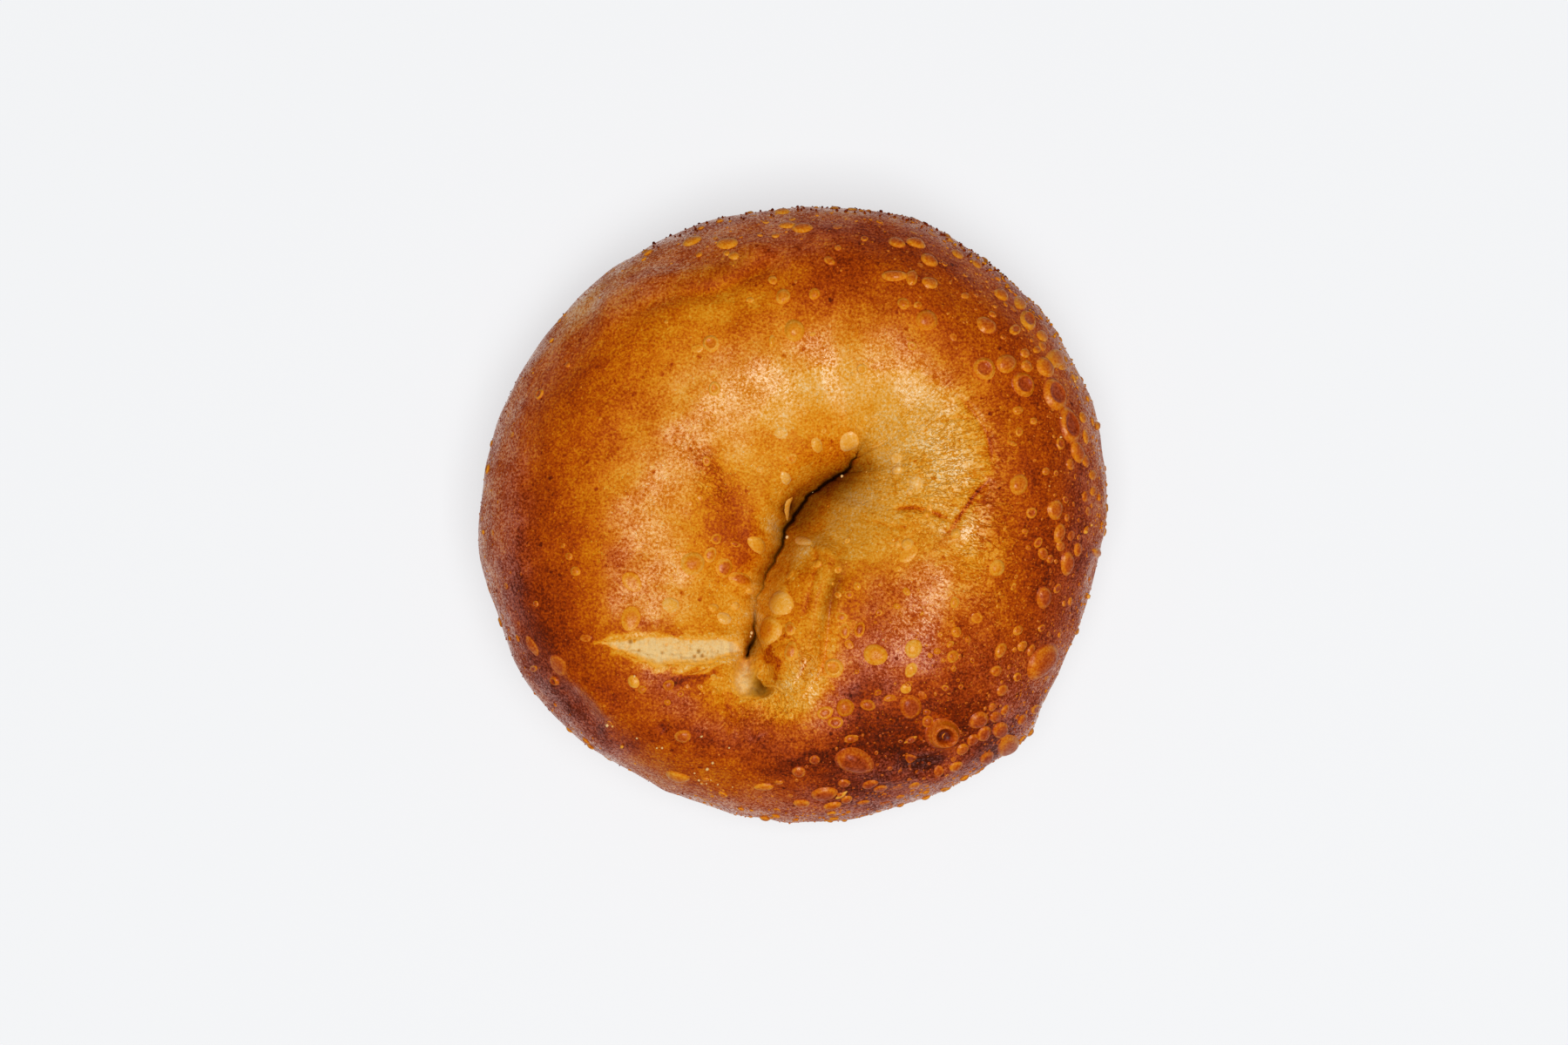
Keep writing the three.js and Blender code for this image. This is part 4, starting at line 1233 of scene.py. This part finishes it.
def add_flake(heap, skin, dots, width, lift, bake):
    """A thin curled strip of skin along a line of plan dots."""
    line = np.array(smooth_line(on_plan(dots), 4))
    along = np.gradient(line, axis=0)
    beside = np.column_stack([-along[:, 1], along[:, 0]]) / np.hypot(*along.T)[:, None]
    taper = np.sin(np.linspace(FLAKE_TIP, math.pi - FLAKE_TIP, len(line)))
    shares = (-1, -0.5, 0, 0.5, 1)
    rows = []
    for share in shares:
        spots = line + beside * (share * width / 2 * taper)[:, None]
        places, normals, _ = zip(*[skin.under(*spot) for spot in spots])
        raised = lift * (1 - share * share) * taper - FLAKE_TUCK
        rows.append(np.array(places) + raised[:, None] * np.array(normals))
    count = len(line)
    faces = []
    for row in range(len(shares) - 1):
        for a in range(row * count, row * count + count - 1):
            faces.append((a, a + 1, a + count + 1, a + count))
    heap.add(np.concatenate(rows), faces, bake)


# ---------------------------------------------------------------- shader parts


def feed(tree, value, socket):
    """Links a socket to another one, or sets it to a value."""
    if isinstance(value, bpy.types.NodeSocket):
        tree.links.new(value, socket)
    else:
        socket.default_value = value


def feed_all(tree, node, inputs):
    for key, value in inputs.items():
        feed(tree, value, node.inputs[key])


def new_node(tree, kind, inputs, **settings):
    """The output sockets of a new shader node, whose inputs are fed by name or by number."""
    node = tree.nodes.new("ShaderNode" + kind)
    for key, value in settings.items():
        setattr(node, key, value)
    feed_all(tree, node, inputs)
    return node.outputs


def new_group(name, inputs, outputs):
    """A shader node group with named sockets, its inputs and its result.

    Each input is a name with its value, or None for a vector, and each output a name with its kind."""
    group = bpy.data.node_groups.new(name, "ShaderNodeTree")
    for key, value in inputs.items():
        kind = "NodeSocketVector" if value is None else "NodeSocketFloat"
        socket = group.interface.new_socket(name=key, in_out="INPUT", socket_type=kind)
        if value is not None:
            socket.default_value = value
    for key, kind in outputs.items():
        group.interface.new_socket(name=key, in_out="OUTPUT", socket_type=kind)
    return group, group.nodes.new("NodeGroupInput").outputs, group.nodes.new("NodeGroupOutput")


def math_node(tree, operation, *operands):
    return new_node(tree, "Math", dict(enumerate(operands)), operation=operation)[0]


def noise_node(tree, vector, scale, detail, roughness=0.5, distortion=0.0):
    inputs = {"Vector": vector, "Scale": scale, "Detail": detail, "Roughness": roughness}
    return new_node(tree, "TexNoise", {**inputs, "Distortion": distortion})["Fac"]


def range_node(tree, value, low, high, to_low=0.0, to_high=1.0, curve="SMOOTHSTEP"):
    inputs = {"Value": value, "From Min": low, "From Max": high, "To Min": to_low, "To Max": to_high}
    return new_node(tree, "MapRange", inputs, interpolation_type=curve)["Result"]


def point_value(tree, name, kind="Fac"):
    return new_node(tree, "Attribute", {}, attribute_name=name)[kind]


def group_node(tree, group, inputs):
    return new_node(tree, "Group", inputs, node_tree=group)


# Colours by bake, from bare crumb over gold and orange to scorch
BAKE_COLOURS = [
    (-0.12, (0.84, 0.57, 0.24)), (0.00, (0.84, 0.43, 0.090)), (0.10, (0.82, 0.37, 0.037)),
    (0.20, (0.78, 0.303, 0.012)), (0.32, (0.71, 0.212, 0.003)), (0.44, (0.60, 0.133, 0.001)),
    (0.56, (0.46, 0.068, 0.001)), (0.68, (0.33, 0.038, 0.001)), (0.80, (0.18, 0.018, 0.001)),
    (1.00, (0.05, 0.006, 0.001)),
]
# The dark brown that painted shade mixes the colour towards
PAINTED_SHADE_COLOUR = (0.045, 0.010, 0.0005)


def baked_colour_group():
    """The colour for a bake from 0 to 1, or below 0 for bare crumb, darkened by painted shade."""
    inputs = {"Bake": 0.4, "Shade": 0.0}
    group, given, result = new_group("baked colour", inputs, {"Color": "NodeSocketColor"})
    lowest, highest = BAKE_COLOURS[0][0], BAKE_COLOURS[-1][0]
    place = range_node(group, given["Bake"], lowest, highest, curve="LINEAR")
    ramp = group.nodes.new("ShaderNodeValToRGB")
    feed(group, place, ramp.inputs["Fac"])
    elements = ramp.color_ramp.elements
    while len(elements) < len(BAKE_COLOURS):
        elements.new(0.5)
    for element, (bake, colour) in zip(elements, BAKE_COLOURS):
        element.position = (bake - lowest) / (highest - lowest)
        element.color = (*colour, 1)
    shares = {"Factor": given["Shade"], "A": ramp.outputs["Color"], "B": (*PAINTED_SHADE_COLOUR, 1)}
    mixed = new_node(group, "Mix", shares, data_type="RGBA")["Result"]
    feed(group, mixed, result.inputs["Color"])
    return group


def bead_heights(tree, vector, scale, share):
    """Small round beads at a share of the cells of a cell pattern, as a height from 0 to 1."""
    cells = new_node(tree, "TexVoronoi", {"Vector": vector, "Scale": scale})
    split = new_node(tree, "SeparateColor", {"Color": cells["Color"]})
    chosen = math_node(tree, "LESS_THAN", split["Red"], share)
    size = math_node(tree, "MULTIPLY_ADD", split["Green"], 0.25, 0.15)
    dome = range_node(tree, math_node(tree, "DIVIDE", cells["Distance"], size), 1.0, 0.4)
    return math_node(tree, "MULTIPLY", dome, chosen)


WRINKLE_BAKE_AND_SHADE = 0.24  # how much darker a wrinkle is than the skin beside it: partly browning, partly painted shade in the crease
BEAD_GLINT_BAKE = 0.36  # how much paler a bead is than the skin beside it: a painted glint
BEAD_MEAN = 0.08  # what the beads come to on average, so that they leave the bake as it was
LINE_SHEEN_LOSS = 0.85  # how much of its sheen the skin loses in its finest lines
SHEEN_FADE = (-0.17, 0.17, 1.5, 0.0)  # bake change from and to, and the sheen at each: darker is duller
# How high each part of the grain stands: coarse noise, fine noise, folds, wrinkles and beads
GRAIN_HEIGHTS = (2.0, 0.35, 0.5, -0.35, 0.35)
# Noises: fineness as a share of the whole, detail, roughness and distortion
FINE_NOISE = (1.0, 2.5, 0.65)
COARSE_NOISE = (0.08, 4.5, 0.62)
FOLD_NOISE = (0.42, 2.5, 0.6, 1.0)
MESH_NOISE = (0.7, 1.5)
# Widths of the lines in the last two, and the fineness of beads and pores with their share of the cells
WRINKLE_LINE = 0.075
MESH_LINE = 0.055
SKIN_BEADS = (1.0, 0.32)
SKIN_PORES = (0.28, 0.10)


def skin_grain_group():
    """The fine make-up of boiled and baked skin: a bake change, with painted glints on its beads and some
    painted shade in its wrinkles, a height for bumps and a sheen mask.
    """
    inputs = {"Vector": None, "Flow": None, "Fineness": 2200.0, "Speckle": 0.5, "Clouds": 0.2,
              "Wrinkles": 0.1, "Beads": 0.1, "Pores": 0.1}
    outputs = dict.fromkeys(("Bake Change", "Height", "Sheen"), "NodeSocketFloat")
    group, given, result = new_group("skin grain", inputs, outputs)
    vector = given["Vector"]

    def calc(operation, *operands):
        return math_node(group, operation, *operands)

    def scaled(factor):
        return calc("MULTIPLY", given["Fineness"], factor)

    def skin_noise(place, fineness, *settings):
        return noise_node(group, place, scaled(fineness), *settings)

    def skin_beads(fineness, share):
        return bead_heights(group, vector, scaled(fineness), share)

    def spread(value, amount):
        return calc("MULTIPLY", calc("SUBTRACT", value, 0.5), amount)

    def lines_in(noise, width):
        """Thin lines where a noise passes its middle value."""
        away = calc("ABSOLUTE", calc("SUBTRACT", noise, 0.5))
        return calc("SUBTRACT", 1.0, range_node(group, away, 0.0, width))

    fine = skin_noise(vector, *FINE_NOISE)
    coarse = skin_noise(vector, *COARSE_NOISE)
    folds = skin_noise(given["Flow"], *FOLD_NOISE)
    wrinkle = calc("MULTIPLY", lines_in(folds, WRINKLE_LINE), given["Wrinkles"])
    beads = calc("MULTIPLY", calc("SUBTRACT", skin_beads(*SKIN_BEADS), BEAD_MEAN), given["Beads"])
    pores = skin_beads(*SKIN_PORES)
    change = calc("ADD", spread(fine, given["Speckle"]), spread(coarse, given["Clouds"]))
    # Wrinkles darken the colour, partly as painted shade, and beads lighten it as painted glints
    for mask, amount in ((wrinkle, WRINKLE_BAKE_AND_SHADE), (pores, given["Pores"]), (beads, -BEAD_GLINT_BAKE)):
        change = calc("MULTIPLY_ADD", mask, amount, change)
    mesh_lines = lines_in(skin_noise(vector, *MESH_NOISE), MESH_LINE)
    sheen = calc("MULTIPLY_ADD", calc("MAXIMUM", mesh_lines, wrinkle), -LINE_SHEEN_LOSS, 1.0)
    height = calc("MULTIPLY", coarse, GRAIN_HEIGHTS[0])
    for mask, amount in zip((fine, folds, wrinkle, beads), GRAIN_HEIGHTS[1:]):
        height = calc("MULTIPLY_ADD", mask, amount, height)
    feed(group, change, result.inputs["Bake Change"])
    feed(group, height, result.inputs["Height"])
    feed(group, calc("MULTIPLY", sheen, range_node(group, change, *SHEEN_FADE)), result.inputs["Sheen"])
    return group


STREAK_STRETCH = (0.35, 0.35, 2.6)
STREAK_DETAIL = 3.0
STREAK_ROUGHNESS = 0.6


def rim_sheen_streak_group():
    """Long faint streaks of painted sheen that run round the flanks, level with the tray."""
    inputs = {"Vector": None, "Fineness": 550.0, "Amount": 0.2}
    group, given, result = new_group("rim sheen streaks", inputs, {"Bake Change": "NodeSocketFloat"})
    stretched = new_node(group, "VectorMath", {0: given["Vector"], 1: STREAK_STRETCH}, operation="MULTIPLY")
    streaks = noise_node(group, stretched["Vector"], given["Fineness"], STREAK_DETAIL, STREAK_ROUGHNESS)
    change = math_node(group, "MULTIPLY", math_node(group, "SUBTRACT", streaks, 0.5), given["Amount"])
    feed(group, change, result.inputs["Bake Change"])
    return group


BAKED_COLOUR = baked_colour_group()
SKIN_GRAIN = skin_grain_group()
RIM_SHEEN_STREAKS = rim_sheen_streak_group()

# ---------------------------------------------------------------- materials

OIL_ROUGHNESS = 0.24
SKIN_SPECULAR = 0.04
SHADE_BAKE = 0.22  # how much browner the skin turns under full painted shade

CRUST_GRAIN = {"Speckle": 0.90, "Clouds": 0.52, "Pores": 0.22}
CRUMB_GRAIN = {"Speckle": 0.25, "Clouds": 0.30, "Wrinkles": 0.15, "Beads": 0.1, "Pores": 0.25}
BLISTER_GRAIN = {"Speckle": 0.6, "Clouds": 0.2, "Wrinkles": 0.1, "Beads": 0.1, "Pores": 0.06}
GRIT_GRAIN = {"Speckle": 0.3, "Clouds": 0.1}


def new_material(name):
    material = bpy.data.materials.new(name)
    material.use_nodes = True
    return material, material.node_tree, material.node_tree.nodes["Principled BSDF"]


def baked_material(name, grain, roughness, bump_mm, streaks=0.0, oil=0.0, mapped=False):
    """A material that takes its colour from the bake and shade stored at the points.

    A mapped one also takes its oil and the run and the amount of its wrinkles and beads from there."""
    material, tree, shader = new_material(name)
    where = new_node(tree, "TexCoord", {})["Object"]
    shade = point_value(tree, "shade")
    marks = {"Vector": where, "Flow": where}
    if mapped:
        marks = {
            "Vector": where,
            "Flow": point_value(tree, "flow", "Vector"),
            "Wrinkles": point_value(tree, "wrinkles"),
            "Beads": point_value(tree, "beads"),
        }
        oil = point_value(tree, "gloss")
    skin = group_node(tree, SKIN_GRAIN, {**grain, **marks})
    bake = math_node(tree, "ADD", point_value(tree, "bake"), skin["Bake Change"])
    bake = math_node(tree, "MULTIPLY_ADD", shade, SHADE_BAKE, bake)
    # Painted sheen: faint streaks round the flanks
    if streaks:
        rim = group_node(tree, RIM_SHEEN_STREAKS, {"Vector": where, "Amount": streaks})
        bake = math_node(tree, "ADD", bake, rim["Bake Change"])
    bump = {"Strength": 1, "Distance": bump_mm * MM, "Height": skin["Height"]}
    feed_all(tree, shader, {
        "Base Color": group_node(tree, BAKED_COLOUR, {"Bake": bake, "Shade": shade})["Color"],
        "Normal": new_node(tree, "Bump", bump)["Normal"],
        "Roughness": roughness,
        "Specular IOR Level": SKIN_SPECULAR,
        "Coat Weight": math_node(tree, "MULTIPLY", skin["Sheen"], oil),
        "Coat Roughness": OIL_ROUGHNESS,
    })
    return material


def floor_material(name, colour, seen_glow, cast_glow):
    """A matt floor that glows, more to the eye and in the gloss than as light on what lies on it."""
    material, tree, shader = new_material(name)
    cast = new_node(tree, "LightPath", {})["Is Diffuse Ray"]
    feed_all(tree, shader, {
        "Base Color": (*colour, 1),
        "Roughness": 0.9,
        "Specular IOR Level": 0,
        "Emission Color": (*colour, 1),
        "Emission Strength": math_node(tree, "MULTIPLY_ADD", cast, cast_glow - seen_glow, seen_glow),
    })
    return material


# ---------------------------------------------------------------- building the bagel

crust_points, whole_points, crust_faces, crust_places = crust_mesh()
raw_middle = (crust_points.min(0) + crust_points.max(0)) / 2
cad_middle = (cad_low + cad_high) / 2 / MM
SHIFT = np.array([cad_middle.x - raw_middle[0], cad_middle.y - raw_middle[1], 0])

crust_values = {
    "bake": crust_bake(whole_points, crust_places),
    "shade": crust_shade(whole_points, crust_places),
    **crust_texture(whole_points, crust_places),
}
crust_skin = baked_material("crust", CRUST_GRAIN, 0.50, 0.28, streaks=0.2, mapped=True)
crust = make_piece("crust", crust_points, crust_faces, crust_skin, **crust_values)
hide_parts("bagel")

random = np.random.default_rng(11)
whole_skin = Skin(whole_points, crust_faces, crust_values["bake"])

crumb_heap = Heap()
pores = crack_pores(random)
crumb_heap.add(*crumb_patch(CRACK_OUTLINE, whole_skin, pores, CRUMB_TONES["crack"], random))
crumb_heap.add(*crumb_patch(WINDOW_OUTLINE, whole_skin, [], CRUMB_TONES["window"], random))
crumb_heap.piece("crumb", baked_material("open crumb", CRUMB_GRAIN, 0.7, 0.15))

blister_skin = baked_material("blister skin", BLISTER_GRAIN, 0.40, 0.10, oil=0.36)
blister_heap = Heap()
blister_seats = marked_blisters(blister_heap, whole_skin, random)
blister_heap.piece("blisters", blister_skin)
small_heap = Heap()
for count, sizes, kinds in SCATTERED_BLISTERS:
    scattered_blisters(small_heap, whole_skin, blister_seats, random, count, sizes, kinds)
small_heap.piece("small_blisters", blister_skin)

grit_heap = Heap()
add_grit(grit_heap, whole_skin, random)
grit_heap.piece("grit", baked_material("grit", GRIT_GRAIN, 0.6, 0.02))
flake_heap = Heap()
for flake in FLAKES:
    add_flake(flake_heap, whole_skin, *flake)
flake_heap.piece("flakes", blister_skin)

# ---------------------------------------------------------------- floor, light and camera

FLOOR_HALF_WIDTH = 3.0
FLOOR_COLOUR = (0.30, 0.303, 0.308)
SEEN_GLOW = 2.12
CAST_GLOW = 0.7
corners = [(-1, -1), (1, -1), (1, 1), (-1, 1)]
floor_points = [(FLOOR_HALF_WIDTH * x, FLOOR_HALF_WIDTH * y, 0) for x, y in corners]
floor_mesh = bpy.data.meshes.new("floor")
floor_mesh.from_pydata(floor_points, [], [(0, 1, 2, 3)])
floor_mesh.materials.append(floor_material("pale floor", FLOOR_COLOUR, SEEN_GLOW, CAST_GLOW))
floor = add_object("floor", floor_mesh)

# The world fills the shadows a little and shows more in the gloss
FILL_LIGHT = 0.14
GLOSS_LIGHT = 1.00
world = bpy.data.worlds.new("studio")
world.use_nodes = True
gloss_ray = new_node(world.node_tree, "LightPath", {})["Is Glossy Ray"]
feed_all(world.node_tree, world.node_tree.nodes["Background"], {
    "Color": (1, 1, 1, 1),
    "Strength": math_node(world.node_tree, "MULTIPLY_ADD", gloss_ray, GLOSS_LIGHT - FILL_LIGHT, FILL_LIGHT),
})
bpy.context.scene.world = world

# The soft box in metres, watts and degrees
SOFT_BOX_SIZE = 0.7
SOFT_BOX_ENERGY = 14.4
SOFT_BOX_AT = (0.06, -0.20, 1.3)
SOFT_BOX_TURN = (8.7, 2.6, 0)
soft_box = bpy.data.lights.new("soft box", "AREA")
soft_box.shape = "SQUARE"
soft_box.size = SOFT_BOX_SIZE
soft_box.energy = SOFT_BOX_ENERGY
soft_box_object = add_object("soft box", soft_box)
soft_box_object.location = SOFT_BOX_AT
soft_box_object.rotation_euler = [math.radians(turn) for turn in SOFT_BOX_TURN]

camera = bpy.data.cameras.new("camera")
camera.sensor_width = 36
camera.lens = camera.sensor_width * (EYE[2] - VIEW_WIDTH_HEIGHT) / VIEW_WIDTH
camera_object = add_object("camera", camera)
camera_object.location = (np.array(EYE) + SHIFT) * MM
bpy.context.scene.camera = camera_object
bpy.context.scene.view_settings.view_transform = "Standard"
